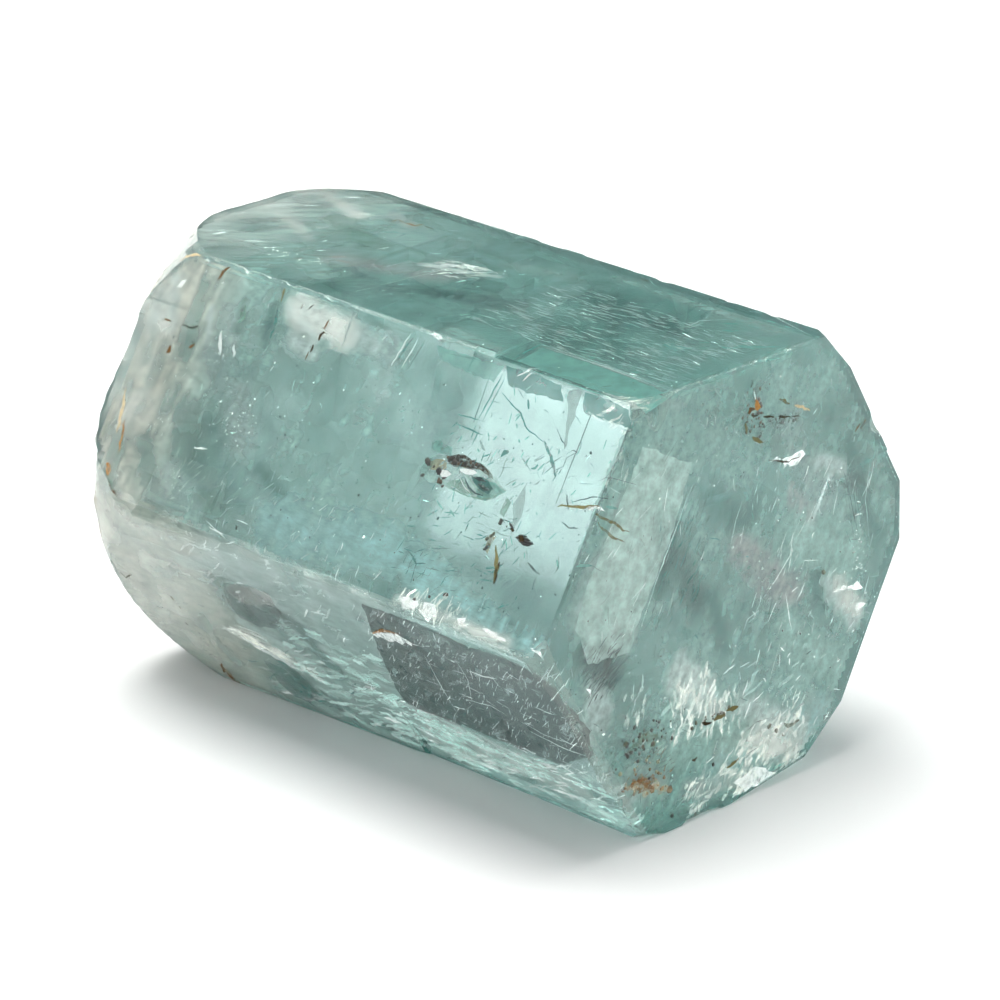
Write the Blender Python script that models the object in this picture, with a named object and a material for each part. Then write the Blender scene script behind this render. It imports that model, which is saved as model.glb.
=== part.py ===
"""A hexagonal aquamarine crystal lying on one side face.

X runs along the crystal toward its flat end, Z is up, and the origin is at the
middle of the bounding box, on the surface that the crystal rests on.
The shape is worked out about the crystal's own axis and set down at the end.
"""
import bpy
import bmesh
from math import cos, sin, radians
from random import Random
from mathutils import Matrix, Vector, noise

MM = 0.001

# Driving dimensions
FLAT_END_X = 24.0 * MM          # flat end, from the section where X is zero
BREAK_X = -22.3 * MM            # broken end, at the middle of a side face
BREAK_CROWN = 1.2 * MM          # how far the middle of the break stands past that
BREAK_LEAN = 0.085              # how much the break leans back toward the front faces
SIDE_FACES = {                  # degrees about X from +Y, distance from the axis
    "upper_back": (30.0, 15.51 * MM),
    "top": (90.0, 15.00 * MM),
    "upper_front": (150.0, 15.13 * MM),
    "lower_front": (210.0, 15.03 * MM),
    "bottom": (270.0, 15.00 * MM),
    "lower_back": (330.0, 14.66 * MM),
}

# The lower front face turns outward from SWELL_START to the broken end
SWELL_START = 6.0 * MM
SWELL_RISE = 1.35 * MM
BLOCK_REACH = 26.0 * MM         # half length of the block that the crystal is cut from

# Small facets at the flat end: three points of each, in millimetres from the axis
END_FACETS = {
    "upper_front_strip": ((23.65, -13.10, 7.57), (24.0, -8.16, 11.86), (24.0, -14.32, -1.03)),
    "lower_front_strip": ((23.45, -12.97, -7.60), (24.0, -15.90, -0.80), (24.0, -8.60, -13.40)),
    "upper_front_corner": ((22.90, -8.85, 15.00), (24.0, -5.15, 15.00), (24.0, -9.70, 13.40)),
    "front_corner": ((22.10, -17.42, 0.10), (23.40, -15.20, -3.80), (24.0, -16.40, 1.84)),
    "lower_front_corner": ((22.60, -8.70, -15.00), (24.0, -7.24, -14.70), (24.0, -9.63, -13.90)),
    "lower_back_corner": ((21.50, 8.40, -14.80), (24.0, 10.20, -11.30), (24.0, 6.90, -13.95)),
    "bottom_chamfer": ((22.50, 4.00, -15.00), (24.0, 6.90, -13.95), (24.0, 0.70, -14.85)),
    "back_corner": ((20.50, 17.42, 0.84), (24.0, 16.00, 3.30), (24.0, 16.10, -1.20)),
    "end_slope": ((24.0, 3.5, 15.00), (24.0, 8.5, -14.50), (23.70, 17.40, 0.80)),
    "upper_back_corner": ((22.10, 9.24, 15.00), (24.0, 11.10, 11.80), (24.0, 8.20, 15.00)),
}

# Worn edges: width of the rounding between two neighbouring side faces
EDGE_WEAR = {
    ("top", "upper_front"): 0.30 * MM,
    ("upper_front", "lower_front"): 0.65 * MM,
    ("lower_front", "bottom"): 0.40 * MM,
    ("bottom", "lower_back"): 0.45 * MM,
    ("lower_back", "upper_back"): 0.80 * MM,
    ("upper_back", "top"): 0.80 * MM,
}
WEAR_SEGMENTS = 2

# Growth ledges: face, X range, range across the face, depth (millimetres), and three
# turns in degrees: roll deepens it across the face, pitch toward the flat end, skew turns it
LEDGES = {
    "top_front_band": ("top", (11.2, 27.0), (-12.0, -5.4), 0.02, 4.5, 0.0, -0.4),
    "top_back_band": ("top", (-4.0, 27.0), (7.4, 12.0), 0.02, -3.5, 0.0, 0.4),
    "window_head": ("upper_front", (9.6, 27.0), (7.1, 12.0), 0.03, -6.0, 0.0, 0.6),
    "window_step": ("upper_front", (11.5, 27.0), (4.3, 12.0), 0.07, 0.0, 0.0, 1.6),
    "window_foot": ("upper_front", (8.4, 27.0), (-12.0, -7.2), 0.02, 4.0, 0.0, -0.5),
    "milky_step": ("upper_front", (-30.0, -1.6), (4.9, 12.0), 0.06, 0.0, 0.0, 2.2),
    "lower_band": ("lower_front", (4.6, 27.0), (-12.0, -4.0), 0.01, 3.0, 0.5, 0.8),
    "back_step": ("upper_back", (-12.0, 27.0), (2.5, 12.0), 0.12, 0.0, 0.0, 0.8),
    "back_band": ("upper_back", (1.5, 27.0), (-12.0, -5.2), 0.03, 3.5, 0.0, -0.7),
    "low_back_step": ("lower_back", (-30.0, 7.0), (-12.0, -1.6), 0.14, 0.6, 0.0, 1.2),
    "low_back_band": ("lower_back", (8.0, 27.0), (4.4, 12.0), 0.02, -4.0, 0.0, 0.5),
}
LEDGE_CLEARANCE = 2.5 * MM      # how far a ledge's cutter stands off the face

# Larger chips: place in millimetres from the axis, half sizes, turn about X in degrees
CHIPS = {
    "upper_front_corner": ((24.95, -7.5, 14.7), (1.5, 2.3, 2.4), 20.0),
    "top_back_wear": ((-11.2, 9.95, 15.6), (5.4, 1.3, 1.1), -30.0),
    "top_glint": ((-1.0, 1.9, 15.42), (3.2, 0.9, 0.55), 0.0),
    "top_front_bite": ((20.6, -8.9, 15.5), (1.9, 0.8, 0.8), 30.0),
    "lower_front_scallop": ((-5.4, -15.75, -6.2), (4.4, 0.9, 2.6), 0.0),
    "front_notch": ((5.6, -17.9, 0.1), (2.2, 0.8, 0.9), 0.0),
    "front_end_hollow": ((-23.6, -17.4, 1.6), (4.0, 3.9, 6.5), 20.0),
    "lower_front_bite": ((14.0, -9.1, -15.35), (2.8, 0.9, 0.8), -20.0),
    "lower_back_bite": ((2.0, 8.8, -15.35), (3.4, 1.3, 1.0), 20.0),
    "back_bite": ((9.0, 18.2, 0.9), (2.9, 1.2, 1.5), 0.0),
    "back_hollow": ((-13.5, 17.9, 0.2), (3.9, 1.3, 2.0), 0.0),
    "upper_back_end": ((24.7, 13.6, 7.7), (1.0, 2.2, 1.2), -60.0),
    "bottom_end": ((24.5, -2.6, -15.3), (1.1, 2.4, 0.7), 0.0),
}

CHIP_ROUGHNESS = 0.4            # how uneven a chip is, against its size

# Small nicks strewn along the edges: how many, and their radius and bite
EDGE_NICKS = {
    ("top", "upper_front"): 13,
    ("upper_front", "lower_front"): 8,
    ("lower_front", "bottom"): 5,
    ("bottom", "lower_back"): 5,
    ("lower_back", "upper_back"): 6,
    ("upper_back", "top"): 8,
}
END_NICKS = 13                  # a row of beads on the edge of top and flat end
NICK_RADIUS = (0.35 * MM, 0.70 * MM)
NICK_BITE = (0.04 * MM, 0.14 * MM)
NICK_LENGTH = (1.3, 3.6)        # along the edge, against the radius

# The broken end: shallow shell-shaped scoops on a low dome
BREAK_CELLS = 56
BREAK_RIM_RADIUS = 15.2 * MM    # from here out to the edges the break falls away
BREAK_RIM_FALL = 1.23           # millimetres at one millimetre past the rim radius
BREAK_RIM_POWER = 1.75
SCOOP_COUNT = 11
SCOOP_DEPTH = 1.3 * MM
SCOOP_RADIUS = 8.0 * MM
BREAK_GRAIN = ((6.0 * MM, 0.55 * MM), (2.2 * MM, 0.22 * MM), (0.9 * MM, 0.09 * MM))

SLIVER = 0.03 * MM              # points closer than this become one after the cuts
FLAT_ANGLE = radians(0.4)       # faces that turn less than this become one

SEED = 41


def face_normal(name):
    angle = radians(SIDE_FACES[name][0])
    return Vector((0.0, cos(angle), sin(angle)))


def face_frame(name):
    """Origin on the face, local x along the crystal, y across the face, z outward."""
    normal = face_normal(name)
    along = Vector((1.0, 0.0, 0.0))
    across = normal.cross(along)
    frame = Matrix((along, across, normal)).transposed().to_4x4()
    frame.translation = normal * SIDE_FACES[name][1]
    return frame


def edge_line(first, second):
    """The point (at X zero) where two side faces meet."""
    a, b = face_normal(first), face_normal(second)
    share = a.dot(b)
    da, db = SIDE_FACES[first][1], SIDE_FACES[second][1]
    return (a * (da - db * share) + b * (db - da * share)) / (1.0 - share * share)


def new_collection(name):
    collection = bpy.data.collections.new(name)
    bpy.context.scene.collection.children.link(collection)
    return collection


def new_object(name, bm, collection):
    mesh = bpy.data.meshes.new(name)
    bm.to_mesh(mesh)
    bm.free()
    thing = bpy.data.objects.new(name, mesh)
    collection.objects.link(thing)
    return thing


def make_cutter(name, bm, cutters):
    cutter = new_object("cut_" + name, bm, cutters)
    cutter.hide_render = True
    cutter.display_type = 'WIRE'
    return cutter


def cleave(bm, point, normal):
    """Cuts off what lies outside a plane and closes the cut with one flat face."""
    everything = bm.verts[:] + bm.edges[:] + bm.faces[:]
    cut = bmesh.ops.bisect_plane(bm, geom=everything, dist=1e-7, plane_co=point,
                                 plane_no=normal, clear_outer=True)
    rim = [item for item in cut["geom_cut"] if isinstance(item, bmesh.types.BMEdge)]
    if rim:
        bmesh.ops.edgeloop_fill(bm, edges=rim)


def cleave_through(bm, points):
    """Cleaves along the plane through three points, keeping the axis side."""
    a, b, c = (Vector(point) * MM for point in points)
    normal = (b - a).cross(c - a).normalized()
    if normal.dot(a) < 0.0:
        normal.negate()
    cleave(bm, a, normal)


def swell_lower_front(bm):
    """Slides the broken end's corners of the lower front face outward, so it turns there."""
    normal = face_normal("lower_front")
    face = max(bm.faces, key=lambda item: item.normal.dot(normal))
    bmesh.ops.bisect_plane(bm, geom=[face] + face.edges[:] + face.verts[:], dist=1e-7,
                           plane_co=(SWELL_START, 0.0, 0.0), plane_no=(1.0, 0.0, 0.0))
    for neighbour in ("upper_front", "bottom"):
        corner = edge_line("lower_front", neighbour)
        other = face_normal(neighbour)
        share = normal.dot(other)
        slide = (normal - other * share) / (1.0 - share * share)
        for vert in bm.verts:
            on_edge = (vert.co.yz - corner.yz).length < 0.01 * MM
            if on_edge and vert.co.x < SWELL_START - MM:
                vert.co += slide * SWELL_RISE


def wear_edges(bm):
    """Rounds each long edge by its own width."""
    for (first, second), width in EDGE_WEAR.items():
        corner = edge_line(first, second)
        reach = SWELL_RISE * 1.2 if "lower_front" in (first, second) else 0.01 * MM
        worn = [edge for edge in bm.edges
                if all((vert.co.yz - corner.yz).length < reach for vert in edge.verts)]
        bmesh.ops.bevel(bm, geom=worn, offset=width, offset_type='WIDTH', profile=0.5,
                        segments=WEAR_SEGMENTS, affect='EDGES', clamp_overlap=True)


def make_prism(collection):
    """The six-sided column with its worn edges, flat end and end facets."""
    bm = bmesh.new()
    bmesh.ops.create_cube(bm, size=2.0 * BLOCK_REACH)
    for name in SIDE_FACES:
        cleave(bm, face_normal(name) * SIDE_FACES[name][1], face_normal(name))
    swell_lower_front(bm)
    wear_edges(bm)
    cleave(bm, Vector((FLAT_END_X, 0.0, 0.0)), Vector((1.0, 0.0, 0.0)))
    for points in END_FACETS.values():
        cleave_through(bm, points)
    return new_object("crystal", bm, collection)


def break_surface(y, z, scoops):
    """X of the broken end at a point of the section."""
    radius = (y * y + z * z) ** 0.5
    crown = max(0.0, 1.0 - (radius / BREAK_RIM_RADIUS) ** 2)
    x = BREAK_X - BREAK_CROWN * crown
    past_rim = max(0.0, radius - BREAK_RIM_RADIUS) / MM
    x += BREAK_RIM_FALL * MM * past_rim ** BREAK_RIM_POWER
    x += BREAK_LEAN * max(0.0, -y)
    hollow = max(1.0 - ((y - sy) ** 2 + (z - sz) ** 2) / SCOOP_RADIUS ** 2 - lift
                 for sy, sz, lift in scoops)
    x += SCOOP_DEPTH * max(0.0, hollow)
    for size, height in BREAK_GRAIN:
        x += height * noise.noise(Vector((3.7, y / size, z / size)))
    return x


def make_break_cutter(cutters):
    """A block whose near side is the broken surface, covering all that lies past it."""
    rng = Random(SEED)
    reach = 15.0 * MM
    scoops = [(rng.uniform(-reach, reach), rng.uniform(-reach, reach), rng.uniform(0.0, 0.5))
              for _ in range(SCOOP_COUNT)]
    bm = bmesh.new()
    bmesh.ops.create_grid(bm, x_segments=BREAK_CELLS, y_segments=BREAK_CELLS, size=20.0 * MM)
    for vert in bm.verts:
        y, z = vert.co.x, vert.co.y
        vert.co = Vector((break_surface(y, z, scoops), y, z))
    back = bmesh.ops.extrude_face_region(bm, geom=bm.faces[:])
    for item in back["geom"]:
        if isinstance(item, bmesh.types.BMVert):
            item.co.x = -40.0 * MM
    bmesh.ops.recalc_face_normals(bm, faces=bm.faces)
    return make_cutter("broken_end", bm, cutters)


def make_ledge_cutter(name, cutters):
    """A flat box that takes a thin layer off one side face."""
    face, along, across, depth, roll, pitch, skew = LEDGES[name]
    size = Vector((along[1] - along[0], across[1] - across[0], 0.0)) * MM
    size.z = depth * MM + LEDGE_CLEARANCE
    centre = Vector((sum(along) / 2.0, sum(across) / 2.0, 0.0)) * MM
    centre.z = (LEDGE_CLEARANCE - depth * MM) / 2.0
    # A turned box hinges on its inner sides, so the layer it takes is a wedge
    hinge_side = -size.y / 2.0 if roll < 0.0 else size.y / 2.0
    hinge = Vector((-size.x / 2.0, hinge_side, -size.z / 2.0))
    turn = (Matrix.Translation(hinge) @ Matrix.Rotation(radians(roll), 4, 'X')
            @ Matrix.Rotation(radians(pitch), 4, 'Y') @ Matrix.Translation(-hinge))
    place = face_frame(face) @ Matrix.Translation(centre) @ Matrix.Rotation(radians(skew), 4, 'Z')
    bm = bmesh.new()
    bmesh.ops.create_cube(bm, size=1.0)
    bmesh.ops.transform(bm, matrix=place @ turn @ Matrix.Diagonal(size.to_4d()), verts=bm.verts)
    return make_cutter(name, bm, cutters)


def roughen(bm, amount, seed):
    """Pushes a round cutter's points in and out, so that the chip it leaves is uneven."""
    shift = Vector((seed * 1.7, seed * 0.9, seed * 2.3))
    for vert in bm.verts:
        vert.co *= 1.0 + amount * noise.noise(vert.co * 1.4 + shift)


def make_chip_cutter(name, place, half_size, turn, detail, seed, cutters):
    bm = bmesh.new()
    bmesh.ops.create_icosphere(bm, subdivisions=detail, radius=1.0)
    roughen(bm, CHIP_ROUGHNESS, seed)
    matrix = (Matrix.Translation(place) @ Matrix.Rotation(turn, 4, 'X')
              @ Matrix.Diagonal(Vector(half_size).to_4d()))
    bmesh.ops.transform(bm, matrix=matrix, verts=bm.verts)
    return make_cutter(name, bm, cutters)


def make_nicks(cutters):
    """Small chips along the side edges, and a close row on the top edge of the flat end."""
    rng = Random(SEED + 1)
    made = []
    for (first, second), count in EDGE_NICKS.items():
        line = edge_line(first, second)
        outward = line.normalized()
        for step in range(count):
            share = (step + rng.uniform(0.1, 0.9)) / count
            radius = rng.uniform(*NICK_RADIUS)
            bite = rng.uniform(*NICK_BITE) + EDGE_WEAR[(first, second)] * 0.3
            x = -17.0 * MM + share * (FLAT_END_X + 15.5 * MM)
            centre = line + outward * (radius - bite)
            centre.x = x
            size = (radius * rng.uniform(*NICK_LENGTH), radius, radius)
            made.append(make_chip_cutter(f"nick_{first}_{step}", centre, size, 0.0, 2,
                                         len(made), cutters))
    for step in range(END_NICKS):
        share = (step + rng.uniform(0.2, 0.8)) / END_NICKS
        radius = rng.uniform(*NICK_RADIUS) * 0.8
        centre = Vector((FLAT_END_X + radius * 0.55, (-4.2 + 11.6 * share) * MM,
                         SIDE_FACES["top"][1] + radius * 0.55))
        made.append(make_chip_cutter(f"nick_end_{step}", centre, (radius,) * 3, 0.0, 2,
                                     len(made), cutters))
    return made


def cut(crystal, cutter):
    step = crystal.modifiers.new(cutter.name, 'BOOLEAN')
    step.operation = 'DIFFERENCE'
    step.solver = 'EXACT'
    step.object = cutter


def aquamarine_material():
    """Clear beryl: pale blue-green, seen through, with a slightly worn polish."""
    material = bpy.data.materials.new("aquamarine")
    material.use_nodes = True
    shader = material.node_tree.nodes["Principled BSDF"]
    shader.inputs["Base Color"].default_value = (0.56, 0.78, 0.76, 1.0)
    shader.inputs["Roughness"].default_value = 0.08
    shader.inputs["Metallic"].default_value = 0.0
    shader.inputs["IOR"].default_value = 1.577
    shader.inputs["Transmission Weight"].default_value = 0.85
    return material


def clean_cuts(crystal):
    """Makes the cuts part of the mesh and clears the slivers that they leave."""
    shape = crystal.evaluated_get(bpy.context.evaluated_depsgraph_get())
    bm = bmesh.new()
    bm.from_mesh(shape.to_mesh())
    bmesh.ops.remove_doubles(bm, verts=bm.verts, dist=SLIVER)
    bmesh.ops.dissolve_degenerate(bm, edges=bm.edges, dist=SLIVER)
    bmesh.ops.dissolve_limit(bm, angle_limit=FLAT_ANGLE, verts=bm.verts, edges=bm.edges)
    bmesh.ops.triangulate(bm, faces=bm.faces, quad_method='BEAUTY', ngon_method='BEAUTY')
    crystal.modifiers.clear()
    bm.to_mesh(crystal.data)
    bm.free()


def set_down(crystal, cutters, collection):
    """Hangs everything on one empty and puts the crystal's box on the origin."""
    origin = bpy.data.objects.new("origin", None)
    collection.objects.link(origin)
    for thing in [crystal] + list(cutters.objects):
        thing.parent = origin
    bpy.context.view_layer.update()
    shape = crystal.evaluated_get(bpy.context.evaluated_depsgraph_get())
    corners = [Vector(corner) for corner in shape.bound_box]
    low = Vector([min(corner[axis] for corner in corners) for axis in range(3)])
    high = Vector([max(corner[axis] for corner in corners) for axis in range(3)])
    origin.location = (-(low.x + high.x) / 2.0, -(low.y + high.y) / 2.0, -low.z)


def main():
    for thing in list(bpy.data.objects):
        bpy.data.objects.remove(thing)
    collection = new_collection("aquamarine_crystal")
    cutters = new_collection("cutters")

    crystal = make_prism(collection)
    for name in LEDGES:
        cut(crystal, make_ledge_cutter(name, cutters))
    cut(crystal, make_break_cutter(cutters))
    for number, (name, (place, half_size, turn)) in enumerate(CHIPS.items()):
        cut(crystal, make_chip_cutter(name, Vector(place) * MM, [side * MM for side in half_size],
                                      radians(turn), 3, number + 100, cutters))
    for nick in make_nicks(cutters):
        cut(crystal, nick)
    clean_cuts(crystal)
    crystal.data.materials.append(aquamarine_material())
    set_down(crystal, cutters, collection)


main()
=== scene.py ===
import math
import random
import bpy
import bmesh
from mathutils import Matrix, Vector, noise
from mathutils.bvhtree import BVHTree


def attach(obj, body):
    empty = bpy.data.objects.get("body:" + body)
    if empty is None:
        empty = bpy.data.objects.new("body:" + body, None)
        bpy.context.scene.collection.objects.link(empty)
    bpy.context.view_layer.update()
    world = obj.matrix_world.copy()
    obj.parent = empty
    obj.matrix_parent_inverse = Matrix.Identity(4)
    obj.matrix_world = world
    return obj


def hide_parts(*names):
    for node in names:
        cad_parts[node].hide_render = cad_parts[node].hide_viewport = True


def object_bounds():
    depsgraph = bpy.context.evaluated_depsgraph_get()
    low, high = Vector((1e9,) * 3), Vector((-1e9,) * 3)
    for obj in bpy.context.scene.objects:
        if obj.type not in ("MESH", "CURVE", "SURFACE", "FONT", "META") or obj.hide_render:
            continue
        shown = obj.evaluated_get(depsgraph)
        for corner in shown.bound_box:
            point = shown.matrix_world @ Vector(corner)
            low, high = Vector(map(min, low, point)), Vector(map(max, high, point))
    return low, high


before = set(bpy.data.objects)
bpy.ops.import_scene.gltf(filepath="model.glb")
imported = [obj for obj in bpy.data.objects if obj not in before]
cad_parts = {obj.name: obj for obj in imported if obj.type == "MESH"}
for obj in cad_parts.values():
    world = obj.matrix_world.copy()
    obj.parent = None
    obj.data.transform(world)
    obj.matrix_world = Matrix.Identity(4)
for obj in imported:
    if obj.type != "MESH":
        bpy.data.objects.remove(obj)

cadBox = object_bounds()
mm = 0.001
scene = bpy.context.scene
print("frame loaded")

# the crystal as it grew: angle of each prism face about X from +Y, and its distance from the axis
crystalShape = {
    "axis": Vector((0.0, 0.254, 15.0)) * mm,
    "sectionX": -0.417 * mm,        # where the measured X values start from
    "flatEnd": 24.0 * mm,
    "faces": {
        "upperBack": (30.0, 15.51 * mm),
        "top": (90.0, 15.00 * mm),
        "upperFront": (150.0, 15.13 * mm),
        "lowerFront": (210.0, 15.03 * mm),
        "bottom": (270.0, 15.00 * mm),
        "lowerBack": (330.0, 14.66 * mm),
    },
}


def faceNormal(face):
    if face == "end":
        return Vector((1.0, 0.0, 0.0))
    angle = math.radians(crystalShape["faces"][face][0])
    return Vector((0.0, math.cos(angle), math.sin(angle)))


def onFace(face, along, across, depth=0.0):
    # a place under a face: millimetres along X and across it (on the flat end, along Y and Z)
    start = crystalShape["axis"] + Vector((crystalShape["sectionX"], 0.0, 0.0))
    normal = faceNormal(face)
    if face == "end":
        return start + Vector((crystalShape["flatEnd"] - depth * mm, along * mm, across * mm))
    side = Vector((0.0, normal.z, -normal.y))
    out = crystalShape["faces"][face][1] - depth * mm
    return start + Vector((along * mm, 0.0, 0.0)) + side * across * mm + normal * out


def alongX(p):
    return (p.x - crystalShape["sectionX"]) / mm


def linearColor(text, alpha=1.0):
    # sRGB hex to Blender's linear values
    channels = [int(text[i:i + 2], 16) / 255.0 for i in (1, 3, 5)]
    linear = [c / 12.92 if c <= 0.04045 else ((c + 0.055) / 1.055) ** 2.4 for c in channels]
    return (*linear, alpha)


def addNode(tree, kind, settings=None, inputs=None):
    # one node with its settings; an input given as a socket is linked, anything else is its value
    node = tree.nodes.new(kind)
    for name, value in (settings or {}).items():
        setattr(node, name, value)
    for name, value in (inputs or {}).items():
        socket = node.inputs[name]
        if isinstance(value, bpy.types.NodeSocket):
            tree.links.new(value, socket)
        else:
            socket.default_value = value
    return node


def newMaterial(name):
    material = bpy.data.materials.new(name)
    material.use_nodes = True
    material.node_tree.nodes.clear()
    return material, material.node_tree


studioLook = {
    "floorColor": "#dfe1e1",
    "floorRadius": 4.0,
    "floorDrop": 0.05 * mm,         # keeps the floor clear of the face that rests on it
    "worldColor": "#ffffff",
    "worldStrength": 0.77,
    "boxColor": "#fffefc",
    "boxSize": 0.40,
    "boxStrength": 9.7,
    "boxPlace": Vector((-0.11, 0.00, 0.54)),
    "cardColor": "#6e7272",         # grey card behind, which keeps glare off the top face
    "cardSize": (1.3, 0.42),
    "cardPlace": Vector((-0.62, 0.62, 0.36)),
}

cameraLook = {
    "azimuth": 45.52,
    "elevation": 21.59,
    "roll": -0.37,
    "distance": 334.1 * mm,
    "target": Vector((1.053, 1.474, 14.51)) * mm,
    "lens": 180.0,                  # on a 36 mm sensor
}


def makeCamera():
    az, el, roll = (math.radians(cameraLook[key]) for key in ("azimuth", "elevation", "roll"))
    back = Vector((math.sin(az) * math.cos(el), -math.cos(az) * math.cos(el), math.sin(el)))
    right = Vector((math.cos(az), math.sin(az), 0.0))
    up = back.cross(right)
    turnedRight = right * math.cos(roll) + up * math.sin(roll)
    turnedUp = up * math.cos(roll) - right * math.sin(roll)
    camera = bpy.data.objects.new("camera", bpy.data.cameras.new("camera"))
    camera.data.sensor_width = 36.0
    camera.data.lens = cameraLook["lens"]
    camera.data.clip_start = 0.01
    camera.data.clip_end = 20.0
    place = Matrix((turnedRight, turnedUp, back)).transposed().to_4x4()
    place.translation = cameraLook["target"] + back * cameraLook["distance"]
    camera.matrix_world = place
    scene.collection.objects.link(camera)
    scene.camera = camera


def makeStudio():
    bpy.ops.mesh.primitive_circle_add(vertices=96, radius=studioLook["floorRadius"],
                                      fill_type='NGON', location=(0.0, 0.0, -studioLook["floorDrop"]))
    floor = bpy.context.object
    floor.name = "studioFloor"
    # matt paper: pale and even, with next to no gloss
    material, tree = newMaterial("paperSweep")
    paper = addNode(tree, "ShaderNodeBsdfPrincipled", inputs={
        "Base Color": linearColor(studioLook["floorColor"]), "Roughness": 0.75,
        "Specular IOR Level": 0.2})
    addNode(tree, "ShaderNodeOutputMaterial", inputs={"Surface": paper.outputs["BSDF"]})
    floor.data.materials.append(material)

    world = bpy.data.worlds.new("softStudio")
    world.use_nodes = True
    background = world.node_tree.nodes["Background"]
    background.inputs["Color"].default_value = linearColor(studioLook["worldColor"])
    background.inputs["Strength"].default_value = studioLook["worldStrength"]
    scene.world = world

    bpy.ops.mesh.primitive_plane_add(size=studioLook["boxSize"], location=studioLook["boxPlace"])
    box = bpy.context.object
    box.name = "softbox"
    box.rotation_euler = (crystalShape["axis"] - box.location).to_track_quat('-Z', 'Y').to_euler()
    # woven diffuser cloth: one even white glow, which shows in the gloss of the faces
    cloth, tree = newMaterial("softboxCloth")
    glow = addNode(tree, "ShaderNodeEmission", inputs={
        "Color": linearColor(studioLook["boxColor"]), "Strength": studioLook["boxStrength"]})
    addNode(tree, "ShaderNodeOutputMaterial", inputs={"Surface": glow.outputs["Emission"]})
    cloth.cycles.emission_sampling = 'NONE'
    box.data.materials.append(cloth)

    bpy.ops.mesh.primitive_plane_add(size=1.0, location=studioLook["cardPlace"])
    card = bpy.context.object
    card.name = "greyCard"
    card.scale = (*studioLook["cardSize"], 1.0)
    card.rotation_euler = (crystalShape["axis"] - card.location).to_track_quat('Z', 'Y').to_euler()
    # pressed felt: fully matt grey, a quiet reflection for the top face
    felt, tree = newMaterial("greyFelt")
    cloth = addNode(tree, "ShaderNodeBsdfPrincipled", inputs={
        "Base Color": linearColor(studioLook["cardColor"]), "Roughness": 1.0,
        "Specular IOR Level": 0.0})
    addNode(tree, "ShaderNodeOutputMaterial", inputs={"Surface": cloth.outputs["BSDF"]})
    card.data.materials.append(felt)

    scene.view_settings.view_transform = 'Standard'
    # enough bounces for light to get through a clear stone with many films in it
    scene.cycles.max_bounces = 12
    scene.cycles.transmission_bounces = 10
    scene.cycles.glossy_bounces = 6
    scene.cycles.diffuse_bounces = 6
    scene.cycles.transparent_max_bounces = 96


berylLook = {
    "tint": "#f2faf8",
    "ior": 1.577,                   # beryl, ordinary ray
    "absorbColor": (0.03, 0.55, 0.53, 1.0),
    "absorbDensity": 16.0,
    "roughness": 0.0,
    "brokenRoughness": 0.28,
    "brokenClearness": 0.6,
    "brokenBefore": -19.0,          # mm along X
    "flatWithin": 9.0,              # degrees from a growth face
    "sharpOver": 24.0,
}


def aquamarineMaterial(name, roughness, clearness):
    # aquamarine, a clear beryl: glassy on its natural growth faces, blue-green by depth,
    # and a little frosted where it broke off its matrix
    material, tree = newMaterial(name)
    skin = addNode(tree, "ShaderNodeBsdfPrincipled", inputs={
        "Base Color": linearColor(berylLook["tint"]), "Roughness": roughness,
        "IOR": berylLook["ior"], "Transmission Weight": clearness})
    depth = addNode(tree, "ShaderNodeVolumeAbsorption", inputs={
        "Color": berylLook["absorbColor"], "Density": berylLook["absorbDensity"]})
    addNode(tree, "ShaderNodeOutputMaterial", inputs={
        "Surface": skin.outputs["BSDF"], "Volume": depth.outputs["Volume"]})
    return material


def makeCrystal():
    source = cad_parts["crystal"]
    mesh = source.data.copy()
    mesh.name = "aquamarineBody"
    mesh.materials.clear()
    body = bpy.data.objects.new("aquamarineBody", mesh)
    scene.collection.objects.link(body)
    bm = bmesh.new()
    bm.from_mesh(mesh)
    bmesh.ops.remove_doubles(bm, verts=bm.verts, dist=0.002 * mm)
    bm.to_mesh(mesh)
    bm.free()
    normals = [faceNormal(face) for face in (*crystalShape["faces"], "end")]
    grown = math.cos(math.radians(berylLook["flatWithin"]))
    mesh.set_sharp_from_angle(angle=math.radians(berylLook["sharpOver"]))
    for polygon in mesh.polygons:
        # growth faces and their ledges are dead flat, chips and the broken end are curved
        polygon.use_smooth = max(polygon.normal.dot(n) for n in normals) < grown
    mesh.materials.append(aquamarineMaterial("aquamarineBeryl", berylLook["roughness"], 1.0))
    mesh.materials.append(aquamarineMaterial("brokenAquamarine", berylLook["brokenRoughness"],
                                             berylLook["brokenClearness"]))
    for polygon in mesh.polygons:
        if polygon.use_smooth and alongX(polygon.center) < berylLook["brokenBefore"]:
            polygon.material_index = 1
    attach(body, "root")
    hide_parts("crystal")
    return body


makeCamera()
makeStudio()
print("studio ready")
crystalBody = makeCrystal()
bodyTree = BVHTree.FromObject(crystalBody, bpy.context.evaluated_depsgraph_get())
print("crystal body ready")


def trimmed(batch):
    # the batch without the points that none of its faces uses
    used = sorted({i for face in batch["faces"] for i in face})
    place = {old: new for new, old in enumerate(used)}
    kept = {key: [batch[key][i] for i in used] for key in ("points", "cover", "tint")}
    kept["faces"] = [[place[i] for i in face] for face in batch["faces"]]
    return kept


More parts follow.
